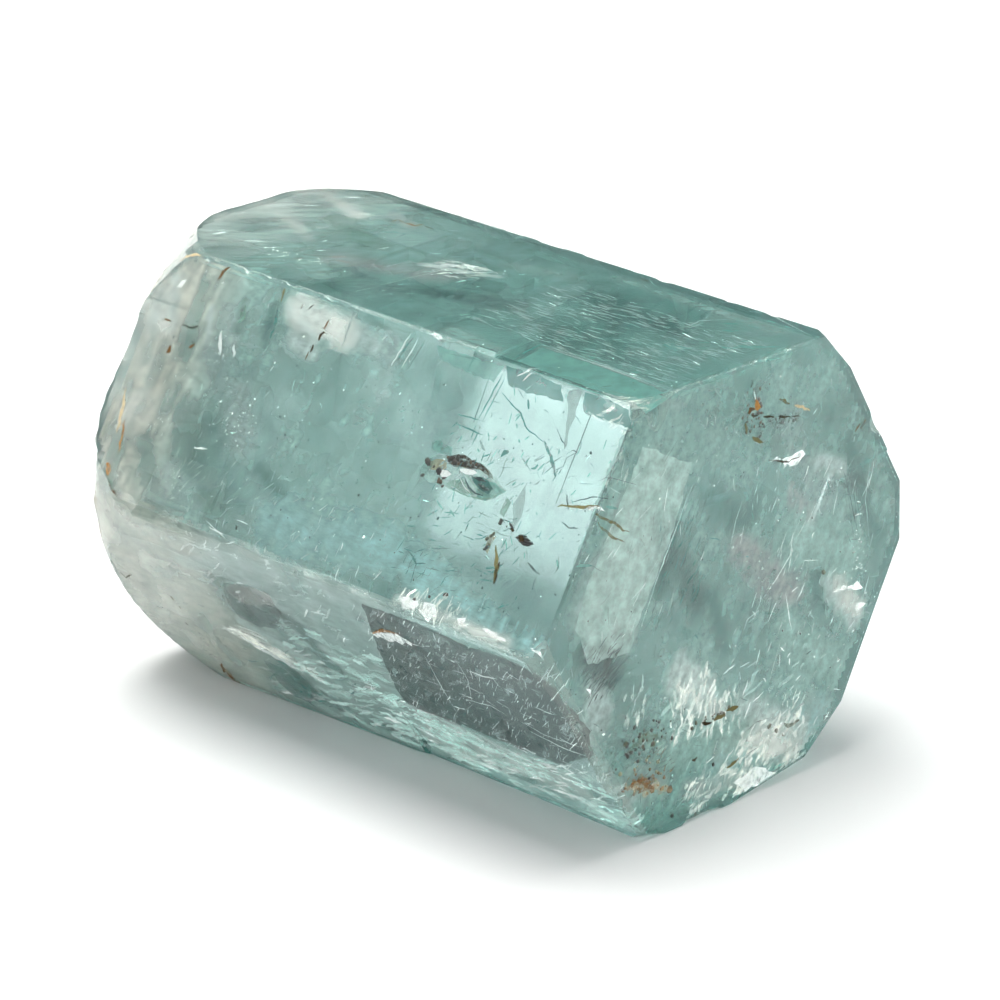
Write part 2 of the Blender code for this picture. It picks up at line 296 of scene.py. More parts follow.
def makePiece(name, batch, material):
    # one mesh from points and faces, with its tint and cover stored per point
    mesh = bpy.data.meshes.new(name)
    mesh.from_pydata(batch["points"], [], batch["faces"])
    mesh.attributes.new("cover", 'FLOAT', 'POINT').data.foreach_set("value", batch["cover"])
    flat = [channel for color in batch["tint"] for channel in color]
    mesh.attributes.new("tint", 'FLOAT_COLOR', 'POINT').data.foreach_set("color", flat)
    mesh.materials.append(material)
    piece = bpy.data.objects.new(name, mesh)
    scene.collection.objects.link(piece)
    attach(piece, "root")
    print(name, len(batch["faces"]), "faces")
    return piece


def gridQuads(grid):
    # the cells of a grid of points that have all four corners
    for i, j in grid:
        corners = [grid.get(key) for key in ((i, j), (i + 1, j), (i + 1, j + 1), (i, j + 1))]
        if None not in corners:
            yield corners


cloudLook = {
    "color": "#e0f2f0",
    "spacing": (5.5, 5.5, 7.5),     # mm between the slices across each axis
    "cell": 0.8,                    # mm between the points of a slice
    "margin": 0.55,                 # mm kept free under the skin
    "fade": 1.8,                    # mm over which the milk comes up behind the skin
    "density": 0.10,                # share of light scattered per mm where the milk is even
    "layerShare": 1.4,              # slices across three axes do the work of one
    "least": 0.012,                 # cover under which a cell is left out
}


def smoothStep(low, high, value):
    t = min(1.0, max(0.0, (value - low) / (high - low)))
    return t * t * (3.0 - 2.0 * t)


def faceDepth(face, p):
    # millimetres under a face
    offset = p - crystalShape["axis"]
    return (crystalShape["faces"][face][1] - offset.dot(faceNormal(face))) / mm


def faceAcross(face, p):
    normal = faceNormal(face)
    side = Vector((0.0, normal.z, -normal.y))
    return (p - crystalShape["axis"]).dot(side) / mm


def milkDensity(p):
    # how milky the beryl is at a point, about 0 to 2
    x = alongX(p)
    q = p / mm
    soft = noise.fractal(q * 0.16 + Vector((3.1, 0.7, 9.2)), 0.9, 2.0, 3)
    fine = noise.fractal(q * 0.55 + Vector((7.3, 1.9, 4.4)), 0.8, 2.1, 3)
    milk = 0.75 + 0.9 * soft + 0.3 * fine
    milk *= 0.65 + 0.75 * smoothStep(8.0, -14.0, x)
    # the gemmy zone that runs from the upper front face to the lower back one
    along = x + 0.464 * faceDepth("upperFront", p)
    gem = smoothStep(9.5, 12.0, along) * smoothStep(-5.5, -3.0, faceAcross("upperFront", p))
    milk *= 1.0 - 0.9 * gem
    # clearer beryl under the right half of the top and in the lower front corner
    milk *= 1.0 - 0.9 * smoothStep(-12.0, -2.0, x) * (1.0 - smoothStep(5.0, 12.0, faceDepth("top", p)))
    milk *= 1.0 - 0.7 * smoothStep(4.0, 8.0, x) * (1.0 - smoothStep(6.0, 11.0, faceDepth("lowerFront", p)))
    return max(0.0, milk)


def makeMilk():
    milk = milkMaterial()
    step = cloudLook["cell"] * mm
    low, high = cadBox[0], cadBox[1]
    for axis, name in enumerate(("milkAlong", "milkAcross", "milkLevel")):
        u, v = [a for a in range(3) if a != axis]
        spacing = cloudLook["spacing"][axis]
        share = cloudLook["density"] * spacing / cloudLook["layerShare"]
        points, covers, faces = [], [], []
        count = int((high[axis] - low[axis]) / (spacing * mm))
        for layer in range(count):
            place = low[axis] + (layer + 0.5) * (high[axis] - low[axis]) / count
            grid = {}
            columns = int((high[u] - low[u]) / step) + 1
            rows = int((high[v] - low[v]) / step) + 1
            for i in range(columns):
                for j in range(rows):
                    p = Vector((0.0, 0.0, 0.0))
                    p[axis] = place
                    p[u] = low[u] + i * step
                    p[v] = low[v] + j * step
                    p[axis] += 0.5 * mm * noise.noise(p / mm * 0.12 + Vector((axis, layer, 0)))
                    near, normal, _, distance = bodyTree.find_nearest(p)
                    deep = distance / mm - cloudLook["margin"]
                    if (p - near).dot(normal) > 0.0 or deep < 0.0:
                        continue
                    amount = 1.0 - math.exp(-milkDensity(p) * share)
                    amount *= smoothStep(0.0, cloudLook["fade"], deep)
                    grid[i, j] = (len(points), amount)
                    points.append(p)
                    covers.append(amount)
            faces += [[index for index, _ in corners] for corners in gridQuads(grid)
                      if max(amount for _, amount in corners) >= cloudLook["least"]]
        tints = [linearColor(cloudLook["color"])] * len(points)
        batch = trimmed({"points": points, "faces": faces, "cover": covers, "tint": tints})
        makePiece(name, batch, milk).data.shade_smooth()


def milkMaterial():
    # milky beryl: droplets far too small to see, which whiten the light that passes
    material, tree = newMaterial("milkyVeil")
    amount = addNode(tree, "ShaderNodeAttribute", {"attribute_name": "cover"})
    veil = addNode(tree, "ShaderNodeBsdfPrincipled", inputs={
        "Base Color": linearColor(cloudLook["color"]), "Roughness": 1.0,
        "Specular IOR Level": 0.0, "Alpha": amount.outputs["Fac"]})
    addNode(tree, "ShaderNodeOutputMaterial", inputs={"Surface": veil.outputs["BSDF"]})
    return material


veilLook = {
    "depth": 0.6,                   # mm under the face
    "darkDeeper": 0.35,
    "cell": 0.36,                   # mm between points
    "least": 0.01,                  # cover under which a cell is left out
    "reach": ((-24.0, 24.2), (-8.6, 8.6)),
    "endReach": ((-17.6, 17.6), (-15.0, 15.4)),
    "mottle": 0.6,
    "grain": {"upperFront": 82.0, "top": 48.0, "lowerFront": 4.0, "end": 64.0},    # streaks, from X
    "streaky": {"lowerFront": 0.45},
    "darkTints": ("lagoon", "smoke", "green", "moss"),
    "tints": {
        "white": "#f0faf7",
        "pale": "#cbece4",
        "teal": "#98dacf",
        "green": "#9cc4b2",
        "moss": "#547d68",
        "smoke": "#34494a",
        "sky": "#bfe9e8",
        "bone": "#f1ecdf",
        "rose": "#eedfe0",
        "lagoon": "#2f7f7a",
    },
    # how the veil changes along X under each face: X, tint, amount
    "along": {
        "upperFront": [(-24, "bone", 0.75), (-17, "bone", 0.56), (-9, "pale", 0.28), (3, "pale", 0.26),
                       (8.4, "pale", 0.22), (9.3, "pale", 0.02), (24, "white", 0.02)],
        "top": [(-24, "white", 0.45), (-14, "pale", 0.30), (-6, "teal", 0.12), (4, "teal", 0.16),
                (24, "teal", 0.24)],
        "lowerFront": [(-24, "bone", 0.60), (-12, "bone", 0.48), (-6, "white", 0.40), (4, "white", 0.40),
                       (24, "pale", 0.20)],
        "upperBack": [(-24, "white", 0.34), (0, "teal", 0.12), (24, "teal", 0.06)],
        "lowerBack": [(-24, "white", 0.30), (-6, "pale", 0.14), (4, "teal", 0.02), (24, "teal", 0.04)],
        "bottom": [(-24, "pale", 0.45), (0, "teal", 0.35), (24, "teal", 0.30)],
    },
    "end": ("pale", 0.30),
    # soft strokes: from, to (mm along X and across the face), half width, tint, amount
    "strokes": {
        "upperFront": [
            ((-6.6, 7.4), (-2.4, 6.6), 1.6, "white", 0.92),
            ((-2.4, 6.6), (2.6, 6.6), 1.0, "white", 0.50),
            ((-21.0, 6.0), (-19.0, 4.0), 1.6, "white", 0.50),
            ((-18.5, 6.6), (-17.4, 3.4), 0.8, "white", 0.60),
            ((-14.3, 5.4), (-13.0, 2.2), 0.4, "white", 0.55),
            ((-12.3, 5.6), (-11.2, 2.6), 0.8, "white", 0.34),
            ((-10.4, 5.0), (-10.0, 2.4), 0.4, "pale", 0.45),
            ((-12.3, 2.6), (-11.0, 1.2), 1.5, "white", 0.20),
            ((-9.3, 0.4), (-7.2, -2.2), 1.5, "white", 0.30),
            ((-13.0, -5.5), (-12.2, -7.0), 0.5, "white", 0.35),
            ((-9.0, 6.8), (-8.4, 4.2), 0.5, "lagoon", 0.55),
            ((-11.8, 6.6), (-11.4, 4.6), 0.5, "lagoon", 0.34),
            ((-16.0, 6.5), (-15.0, 2.0), 0.8, "green", 0.24),
            ((-18.6, -4.6), (-17.6, -8.0), 0.8, "green", 0.30),
            ((-9.3, -5.5), (-6.7, -6.2), 0.9, "green", 0.34),
            ((-12.8, -1.6), (-7.2, -6.6), 1.9, "lagoon", 0.16),
            ((-11.6, -4.0), (-8.0, -6.9), 1.3, "moss", 0.26),
            ((-15.8, -4.2), (-13.2, -7.8), 1.2, "moss", 0.20),
            ((-1.5, -6.4), (7.5, -5.4), 2.2, "sky", 0.52),
            ((12.5, 3.2), (20.0, -1.0), 4.2, "rose", 0.24),
            ((8.0, -5.4), (17.0, -6.7), 1.8, "sky", 0.78),
            ((17.0, -6.7), (22.4, -7.6), 1.1, "sky", 0.72),
            ((10.0, 2.6), (20.5, -3.0), 4.6, "smoke", 0.14),
            ((-5.0, -3.4), (-2.5, -4.4), 0.6, "lagoon", 0.34),
            ((-2.0, 4.5), (0.5, -1.0), 1.4, "pale", 0.16),
            ((2.0, 7.8), (3.2, 3.6), 0.8, "white", 0.26),
            ((5.6, 7.4), (7.8, 4.6), 0.6, "lagoon", 0.12),
            ((10.4, -7.9), (20.5, -8.1), 0.5, "white", 0.55),
            ((9.8, 8.2), (20.0, 8.4), 0.5, "lagoon", 0.60),
            ((10.3, 6.5), (11.6, 3.8), 0.9, "teal", 0.26),
            ((9.4, 2.6), (8.8, 0.2), 0.8, "teal", 0.30),
            ((17.6, 8.0), (19.4, 4.6), 0.5, "pale", 0.30),
            ((-6.3, 5.4), (-4.2, 4.9), 0.8, "white", 0.55),
            ((12.0, 5.6), (22.0, 4.2), 1.8, "smoke", 0.10),
        ],
        "top": [
            ((-17.5, 5.4), (-15.5, 4.2), 1.0, "white", 0.50),
            ((-18.5, 1.0), (-14.0, -1.5), 0.6, "white", 0.40),
            ((-14.0, -3.5), (-8.0, -5.5), 1.4, "pale", 0.40),
            ((-14.0, 6.4), (-11.0, 5.2), 0.7, "white", 0.34),
            ((-16.5, 3.0), (-10.0, 1.0), 1.0, "green", 0.30),
            ((-4.9, 0.4), (0.6, 2.2), 0.5, "white", 0.60),
            ((-9.5, -2.6), (-2.0, -0.8), 1.5, "rose", 0.24),
            ((-2.5, -3.5), (5.5, -1.0), 1.2, "smoke", 0.26),
            ((-1.0, 4.2), (4.0, 5.4), 0.7, "pale", 0.26),
            ((12.5, -6.8), (20.5, -7.4), 1.1, "teal", 0.34),
            ((6.0, -7.2), (10.5, -7.6), 0.8, "pale", 0.34),
            ((8.0, 3.5), (17.0, 2.0), 1.8, "lagoon", 0.20),
            ((6.0, 7.4), (21.0, 7.2), 0.6, "pale", 0.34),
        ],
        "lowerFront": [
            ((-7.9, 3.2), (-2.4, 1.6), 0.9, "smoke", 0.50),
            ((-6.9, -3.4), (-5.1, -6.6), 0.9, "lagoon", 0.60),
            ((-9.6, 4.4), (-7.4, 0.6), 0.7, "lagoon", 0.60),
            ((-2.4, 0.4), (-0.6, -2.4), 0.8, "lagoon", 0.45),
            ((-14.0, -3.0), (-12.5, -6.0), 0.8, "green", 0.35),
            ((-8.8, -0.6), (-2.8, -3.0), 0.7, "white", 0.85),
            ((-12.0, 4.4), (-2.0, 6.6), 0.8, "white", 0.45),
            ((-0.5, -5.5), (4.5, -1.0), 1.6, "white", 0.50),
            ((6.2, -6.2), (20.0, -5.2), 1.3, "white", 0.90),
            ((6.2, -3.9), (20.0, -3.9), 0.5, "white", 0.75),
            ((10.0, -8.2), (22.0, -7.2), 1.1, "sky", 0.80),
            ((4.0, -7.4), (15.0, -6.9), 0.4, "lagoon", 0.40),
            ((2.4, 6.4), (4.6, 2.0), 1.2, "white", 0.34),
        ],
        "end": [
            ((-13.0, 13.0), (-10.6, 9.0), 1.8, "pale", 0.60),
            ((-8.6, 14.2), (-5.6, 13.4), 1.0, "white", 0.50),
            ((-4.0, -12.8), (1.5, -13.8), 1.1, "white", 0.40),
            ((-1.0, -11.4), (8.4, -11.8), 2.0, "sky", 0.62),
            ((-10.0, 13.6), (0.6, 8.6), 2.2, "pale", 0.46),
            ((-12.3, -2.8), (-12.0, -5.6), 1.3, "white", 0.66),
            ((-12.6, -11.6), (-6.4, -11.2), 1.8, "white", 0.50),
            ((-12.8, 2.2), (-9.0, 7.5), 1.9, "white", 0.62),
            ((-8.4, 5.5), (-10.4, -0.4), 1.8, "white", 0.60),
            ((-4.6, -4.6), (-1.4, -8.2), 1.6, "white", 0.85),
            ((1.2, -9.4), (6.2, -13.2), 2.1, "white", 0.85),
            ((-5.5, -9.8), (0.8, -10.6), 1.8, "pale", 0.60),
            ((-5.4, 6.0), (-6.6, 1.5), 0.7, "lagoon", 0.62),
            ((-4.6, 3.2), (-3.0, 0.0), 1.2, "smoke", 0.34),
            ((-13.2, -0.8), (-10.4, -2.6), 1.2, "smoke", 0.40),
            ((-1.6, -0.8), (-0.4, -4.2), 0.8, "lagoon", 0.35),
            ((7.6, 1.0), (8.6, -3.6), 0.8, "lagoon", 0.40),
            ((1.0, 2.5), (5.5, -2.0), 1.6, "rose", 0.45),
            ((5.8, 4.8), (7.4, 2.2), 1.0, "rose", 0.40),
            ((5.0, 10.0), (9.0, 3.5), 1.4, "white", 0.30),
            ((8.4, 6.4), (11.8, 4.8), 0.8, "white", 0.60),
            ((11.2, 6.8), (13.8, -0.5), 0.8, "lagoon", 0.34),
            ((9.6, -2.2), (12.0, -5.4), 1.2, "white", 0.75),
            ((6.0, 2.0), (11.5, -1.0), 2.0, "pale", 0.62),
            ((7.5, -6.5), (10.5, -9.0), 1.5, "pale", 0.62),
            ((5.4, -3.8), (6.8, -8.4), 1.2, "pale", 0.60),
            ((-1.8, 6.6), (1.4, 4.4), 1.3, "lagoon", 0.30),
        ],
    },
}


def mixTint(first, second, share):
    return [a + (b - a) * share for a, b in zip(first, second)]


def strokeShare(stroke, x, v, wander):
    (x0, v0), (x1, v1), width = stroke[0], stroke[1], stroke[2]
    run = Vector((x1 - x0, v1 - v0))
    gap = Vector((x - x0, v - v0))
    t = min(1.0, max(0.0, gap.dot(run) / run.length_squared))
    return 1.0 - smoothStep(0.35 * width, 1.25 * width, (gap - run * t).length + wander * width)


veilTints = {name: linearColor(text)[:3] for name, text in veilLook["tints"].items()}


def veilAt(face, x, v, p, dark):
    # tint and cover of the bright or the dark veil at a point
    turn = math.radians(veilLook["grain"].get(face, 45.0))
    along, across = x * math.cos(turn) + v * math.sin(turn), v * math.cos(turn) - x * math.sin(turn)
    soft = noise.fractal(p / mm * 0.30 + Vector((2.2, 5.1, 0.4)), 0.9, 2.0, 4)
    fine = noise.fractal(Vector((along * 0.42, across * 1.7, len(face) * 3.1)), 0.8, 2.1, 3)
    fine *= veilLook["streaky"].get(face, 1.0)
    if dark:
        tint, amount = veilTints["lagoon"], 0.0
    elif face == "end":
        tint, amount = veilTints[veilLook["end"][0]], veilLook["end"][1]
    else:
        steps = veilLook["along"][face]
        bent = x + 0.9 * soft
        for (x0, tint0, amount0), (x1, tint1, amount1) in zip(steps, steps[1:]):
            if bent <= x1 or x1 == steps[-1][0]:
                share = smoothStep(x0, x1, bent)
                tint = mixTint(veilTints[tint0], veilTints[tint1], share)
                amount = amount0 + (amount1 - amount0) * share
                break
    amount *= 1.0 + veilLook["mottle"] * (1.2 * soft + 1.3 * fine)
    for stroke in veilLook["strokes"].get(face, []):
        share = strokeShare(stroke, x, v, 0.45 * fine + 0.35 * soft)
        if (stroke[3] in veilLook["darkTints"]) != dark:
            # a dark stroke clears the bright veil over it
            amount *= 1.0 if dark else 1.0 - 0.8 * share
        elif share > 0.0:
            strokeTint = veilTints[stroke[3]]
            tint = strokeTint if dark else mixTint(tint, strokeTint, share)
            amount += (stroke[4] * (1.0 + 0.5 * fine) - amount) * share
    return tint, min(0.9, max(0.0, amount))


def makeVeils():
    airy = veilMaterial("airyFractureVeil", 0.5, 0.8, 0.62, 1.32)
    milky = veilMaterial("healedFractureVeil", 1.0, 0.0, 0.78, 1.2)
    cell = veilLook["cell"]
    sheets = [(face, False) for face in (*crystalShape["faces"], "end")]
    sheets += [(face, True) for face in veilLook["strokes"]]
    for face, dark in sheets:
        reachU, reachV = veilLook["endReach" if face == "end" else "reach"]
        points, amounts, colors, grid = [], [], [], {}
        for i in range(int((reachU[1] - reachU[0]) / cell) + 1):
            for j in range(int((reachV[1] - reachV[0]) / cell) + 1):
                x, v = reachU[0] + i * cell, reachV[0] + j * cell
                p = onFace(face, x, v, veilLook["depth"] + (veilLook["darkDeeper"] if dark else 0.0))
                p -= faceNormal(face) * 0.25 * mm * (0.5 + 0.5 * noise.noise(p / mm * 0.25))
                near, normal, _, distance = bodyTree.find_nearest(p)
                if (p - near).dot(normal) > 0.0 or distance < 0.3 * mm:
                    continue
                tint, amount = veilAt(face, x, v, p, dark)
                amount *= smoothStep(0.25, 0.5, distance / mm)
                grid[i, j] = len(points)
                points.append(p)
                amounts.append(amount)
                colors.append((*tint, 1.0))
        faces = [corners for corners in gridQuads(grid)
                 if max(amounts[c] for c in corners) > veilLook["least"]]
        batch = trimmed({"points": points, "faces": faces, "cover": amounts, "tint": colors})
        clear = face in ("upperFront", "end") and not dark
        makePiece(face + ("Shade" if dark else "Veil"), batch, airy if clear else milky)


def perMetre(size):
    # a noise scale from the width of its wisps in millimetres
    return 1.0 / (size * mm)


def veilMaterial(name, roughness, metallic, least, most):
    # healed fractures: films of fine droplets, or of air, close under the faces and wispy along the
    # prism; an airy one reflects as a mirror does, a milky one only whitens. The real droplets are a
    # few hundredths of a millimetre wide, too fine to show, so the wisps are drawn 0.6 mm wide
    material, tree = newMaterial(name)
    amount = addNode(tree, "ShaderNodeAttribute", {"attribute_name": "cover"})
    tint = addNode(tree, "ShaderNodeAttribute", {"attribute_name": "tint"})
    place = addNode(tree, "ShaderNodeTexCoord")
    stretch = addNode(tree, "ShaderNodeMapping", inputs={
        "Vector": place.outputs["Object"], "Scale": (0.45, 1.0, 1.0)})
    wisps = addNode(tree, "ShaderNodeTexNoise", inputs={
        "Vector": stretch.outputs["Vector"], "Scale": perMetre(0.6), "Detail": 4.0, "Roughness": 0.7})
    uneven = addNode(tree, "ShaderNodeMapRange", inputs={
        "Value": wisps.outputs["Fac"], "From Min": 0.3, "From Max": 0.7, "To Min": least, "To Max": most})
    alpha = addNode(tree, "ShaderNodeMath", {"operation": 'MULTIPLY', "use_clamp": True}, {
        0: amount.outputs["Fac"], 1: uneven.outputs["Result"]})
    veil = addNode(tree, "ShaderNodeBsdfPrincipled", inputs={
        "Base Color": tint.outputs["Color"], "Roughness": roughness, "Metallic": metallic,
        "Specular IOR Level": 0.0, "Alpha": alpha.outputs["Value"]})
    addNode(tree, "ShaderNodeOutputMaterial", inputs={"Surface": veil.outputs["BSDF"]})
    return material


makeMilk()
makeVeils()
print("milk and veils ready")

# tints of the flakes, slits, stains and grains; those in the groups below share a film or a place
detailTints = {
    "white": "#fbfdfc",
    "pale": "#d0ece4",
    "aqua": "#cdeee8",
    "flash": "#fbfdfc",
    "cloud": "#fbf8ee",
    "mist": "#f6fbfa",
    "teal": "#8fc9bf",
    "green": "#8db5a2",
    "deep": "#4f8f8a",
    "smoke": "#3a5456",
    "ash": "#8a9a98",
    "cream": "#d8c39c",
    "orange": "#b07c40",
    "rust": "#64482a",
    "umber": "#3a3021",
    "olive": "#6e6844",
    "black": "#17130f",
}
airyTints = ("white", "pale", "aqua")
# flash and cloud slits take the glowing glint film: painted highlights and painted glow
paintedGlintTints = ("cloud", "flash")
rustyTints = ("rust", "umber", "olive", "cream", "orange")


def newBatch():
    return {"points": [], "faces": [], "tint": [], "cover": []}


def addPatch(batch, points, faces, tint, cover):
    start = len(batch["points"])
    batch["points"] += points
    batch["faces"] += [[start + i for i in face] for face in faces]
    batch["tint"] += [linearColor(detailTints[tint])] * len(points)
    batch["cover"] += [cover] * len(points)


skinReach = 5.5                     # mm: a ray that goes further has met a break, not a face


def under(face, x, v, depth):
    # a place this far under the real skin, or None where the face is broken away
    normal = faceNormal(face)
    hit, _, _, distance = bodyTree.ray_cast(onFace(face, x, v, -3.0), -normal)
    if hit is None or distance > skinReach * mm:
        return None
    return hit - normal * depth * mm


# frosted skin: natural etching and breakage roughen the surface itself, which turns it matt and whitish
frostLook = {
    "lift": 0.03,                   # mm over the skin
    "cell": 0.5,                    # mm between points
    "least": 0.01,
    "reach": (23.6, 8.6),
    "endReach": (17.6, 15.0),
    "color": "#f0f2ea",
    "stain": "#c9ab7c",
    # share of the skin that is frosted along X under each face
    "along": {
        "upperFront": [(-24, 0.34), (-19, 0.20), (-14, 0.04), (-9, 0.0), (24, 0.0)],
        "top": [(-24, 0.16), (-18, 0.06), (-12, 0.0), (24, 0.0)],
        "lowerFront": [(-24, 0.40), (-14, 0.24), (-6, 0.0), (24, 0.0)],
        "upperBack": [(-24, 0.30), (-16, 0.0), (24, 0.0)],
        "lowerBack": [(-24, 0.30), (-16, 0.0), (24, 0.0)],
        "bottom": [(-24, 0.30), (-14, 0.0), (24, 0.0)],
        "end": [(-18, 0.0), (18, 0.0)],
    },
    # matt patches: face, from, to, half width, share
    "patches": [
        ("upperFront", (-6.2, 7.1), (-1.4, 6.6), 1.4, 0.20),
        ("upperFront", (-18.5, 5.8), (-17.6, 3.4), 0.8, 0.30),
        ("upperFront", (10.4, -8.1), (20.5, -8.2), 0.5, 0.26),
        ("top", (-20.0, 5.5), (-15.0, 4.0), 0.6, 0.20),
        ("top", (-19.5, 0.6), (-15.0, -1.0), 0.4, 0.16),
        ("end", (1.6, -11.0), (5.6, -12.6), 1.3, 0.24),
        ("end", (-3.6, -12.6), (1.4, -13.6), 0.9, 0.14),
        ("end", (-0.6, -11.0), (8.2, -11.4), 1.9, 0.09),
        ("lowerFront", (7.0, -7.4), (21.0, -6.8), 1.4, 0.10),
        ("end", (9.8, -2.6), (12.0, -5.0), 0.9, 0.26),
        ("lowerFront", (-8.8, -0.8), (-2.8, -3.2), 0.5, 0.34),
    ],
    "broken": 0.33,                 # on the broken end
    "chipped": 0.10,                # on the other rounded breaks
}


def frostAt(face, x, v):
    steps = frostLook["along"][face]
    share = steps[-1][1]
    for (x0, share0), (x1, share1) in zip(steps, steps[1:]):
        if x <= x1:
            share = share0 + (share1 - share0) * smoothStep(x0, x1, x)
            break
    for name, start, end, width, amount in frostLook["patches"]:
        if name == face:
            wander = 0.5 * noise.fractal(Vector((x * 0.5, v * 1.3, 4.0)), 0.8, 2.0, 3)
            share = max(share, amount * strokeShare((start, end, width), x, v, wander))
    return share


def makeFrost():
    white, stain = linearColor(frostLook["color"]), linearColor(frostLook["stain"])
    points, covers, tints, faces = [], [], [], []

    def addPoint(p, share, rusty):
        patch = noise.fractal(p / mm * 0.35 + Vector((4.4, 8.8, 1.2)), 0.8, 2.0, 4)
        points.append(p)
        covers.append(max(0.0, min(0.9, share * (1.0 + 0.8 * patch))))
        tints.append(tuple(mixTint(white, stain, rusty * smoothStep(0.2, 0.5, patch))))
        return len(points) - 1

    cell = frostLook["cell"]
    for face in frostLook["along"]:
        reachU, reachV = frostLook["endReach" if face == "end" else "reach"]
        grid = {}
        for i in range(int(2.0 * reachU / cell) + 1):
            for j in range(int(2.0 * reachV / cell) + 1):
                x, v = i * cell - reachU, j * cell - reachV
                share = frostAt(face, x, v)
                place = under(face, x, v, -frostLook["lift"]) if share > 0.0 else None
                if place is not None:
                    grid[i, j] = (addPoint(place, share, 0.0), place)
        for corners in gridQuads(grid):
            covered = max(covers[index] for index, _ in corners) > frostLook["least"]
            # a cell that spans a chip's wall is left out
            if covered and (corners[0][1] - corners[2][1]).length < 2.2 * cell * mm:
                faces.append([index for index, _ in corners])
    # the rounded breaks follow the solid's own mesh
    start = len(points)
    for vertex in crystalBody.data.vertices:
        broken = 1.0 - smoothStep(-21.5, -18.0, alongX(vertex.co))
        share = frostLook["chipped"] + (frostLook["broken"] - frostLook["chipped"]) * broken
        addPoint(vertex.co + vertex.normal * frostLook["lift"] * mm, share, 0.45 * broken)
    faces += [[start + v for v in polygon.vertices]
              for polygon in crystalBody.data.polygons if polygon.use_smooth]
    batch = trimmed({"points": points, "faces": faces, "cover": covers, "tint": tints})
    makePiece("frostedSkin", batch, veilMaterial("etchedBerylFrost", 1.0, 0.0, 0.78, 1.2))


makeFrost()


def addSliver(batch, face, path, width, tint, cover, depth, rng, tilt=(0.0, 0.0)):
    # a thin flake along a path, pointed at both ends; tilt is how fast it goes down along X and across
    middleX, middleV = path[len(path) // 2]

    def deeper(x, v):
        return max(min(0.08, depth), depth + tilt[0] * (x - middleX) + tilt[1] * (v - middleV))

    spine = []
    for (x0, v0), (x1, v1) in zip(path, path[1:]):
        steps = max(1, round(math.hypot(x1 - x0, v1 - v0) / crackLook["step"]))
        spine += [(x0 + (x1 - x0) * k / steps, v0 + (v1 - v0) * k / steps) for k in range(steps)]
    spine.append(path[-1])
    points = []
    for k, (x, v) in enumerate(spine):
        before, after = spine[max(0, k - 1)], spine[min(len(spine) - 1, k + 1)]
        run = Vector((after[0] - before[0], after[1] - before[1])).normalized()
        middle = math.sin(math.pi * (k + 0.25) / (len(spine) - 0.5))
        half = 0.5 * width * (0.2 + 0.8 * middle) * rng.uniform(0.65, 1.3)
        shift = rng.gauss(0.0, 0.2 * width)
        sides = [(x - run.y * out, v + run.x * out) for out in (shift + half, shift - half)]
        left, right = [under(face, *spot, deeper(*spot)) for spot in sides]
        if left is not None and right is not None:
            points += [left, right]
    quads = [[i, i + 1, i + 3, i + 2] for i in range(0, len(points) - 2, 2)]
    addPatch(batch, points, quads, tint, cover)


outlineStep = 0.4                   # mm between the points of a film's outline


def addFilm(batch, face, corners, tint, cover, depth, ragged, rng):
    # a flat film with a slightly ragged outline
    outline = []
    for (x0, v0), (x1, v1) in zip(corners, corners[1:] + corners[:1]):
        steps = max(1, round(math.hypot(x1 - x0, v1 - v0) / outlineStep))
        for k in range(steps):
            x = x0 + (x1 - x0) * k / steps + rng.gauss(0.0, ragged)
            v = v0 + (v1 - v0) * k / steps + rng.gauss(0.0, ragged)
            place = under(face, x, v, depth)
            if place is not None:
                outline.append(place)
    if len(outline) > 2:
        addPatch(batch, outline, [list(range(len(outline)))], tint, cover)


def filmMaterial(name, roughness, metallic, least, most, wisp, glow=0.0):
    # a film of air, droplets or stain in a crack: its cover breaks up in wisps, whose width is in
    # millimetres, coarser than the real ones so that they show; the glow is painted light, a white
    # emission that stands in for the light an airy crack catches from all round and throws back
    material, tree = newMaterial(name)
    amount = addNode(tree, "ShaderNodeAttribute", {"attribute_name": "cover"})
    tint = addNode(tree, "ShaderNodeAttribute", {"attribute_name": "tint"})
    place = addNode(tree, "ShaderNodeTexCoord")
    wisps = addNode(tree, "ShaderNodeTexNoise", inputs={
        "Vector": place.outputs["Object"], "Scale": perMetre(wisp), "Detail": 3.0, "Roughness": 0.6})
    uneven = addNode(tree, "ShaderNodeMapRange", inputs={
        "Value": wisps.outputs["Fac"], "From Min": 0.32, "From Max": 0.68,
        "To Min": least, "To Max": most})
    alpha = addNode(tree, "ShaderNodeMath", {"operation": 'MULTIPLY', "use_clamp": True}, {
        0: amount.outputs["Fac"], 1: uneven.outputs["Result"]})
    film = addNode(tree, "ShaderNodeBsdfPrincipled", inputs={
        "Base Color": tint.outputs["Color"], "Roughness": roughness, "Metallic": metallic,
        "Specular IOR Level": 0.1, "Alpha": alpha.outputs["Value"],
        "Emission Color": linearColor("#ffffff"), "Emission Strength": glow})
    addNode(tree, "ShaderNodeOutputMaterial", inputs={"Surface": film.outputs["BSDF"]})
    return material


# the air films glow a little and the glint film glows more: painted light on the cracks, glints, slits and
# crumbs
airFilmWithPaintedGlow = filmMaterial("airFractureWithPaintedGlow", 0.25, 1.0, 0.85, 1.25, 0.4, 0.18)
paintedGlintFilm = filmMaterial("paintedGlintFilm", 0.25, 1.0, 0.3, 1.6, 0.38, 0.35)
dropletFilm = filmMaterial("dropletFilm", 0.8, 0.0, 0.45, 1.3, 0.6)
stainFilm = filmMaterial("limoniteStain", 0.9, 0.0, 0.65, 1.4, 0.22)

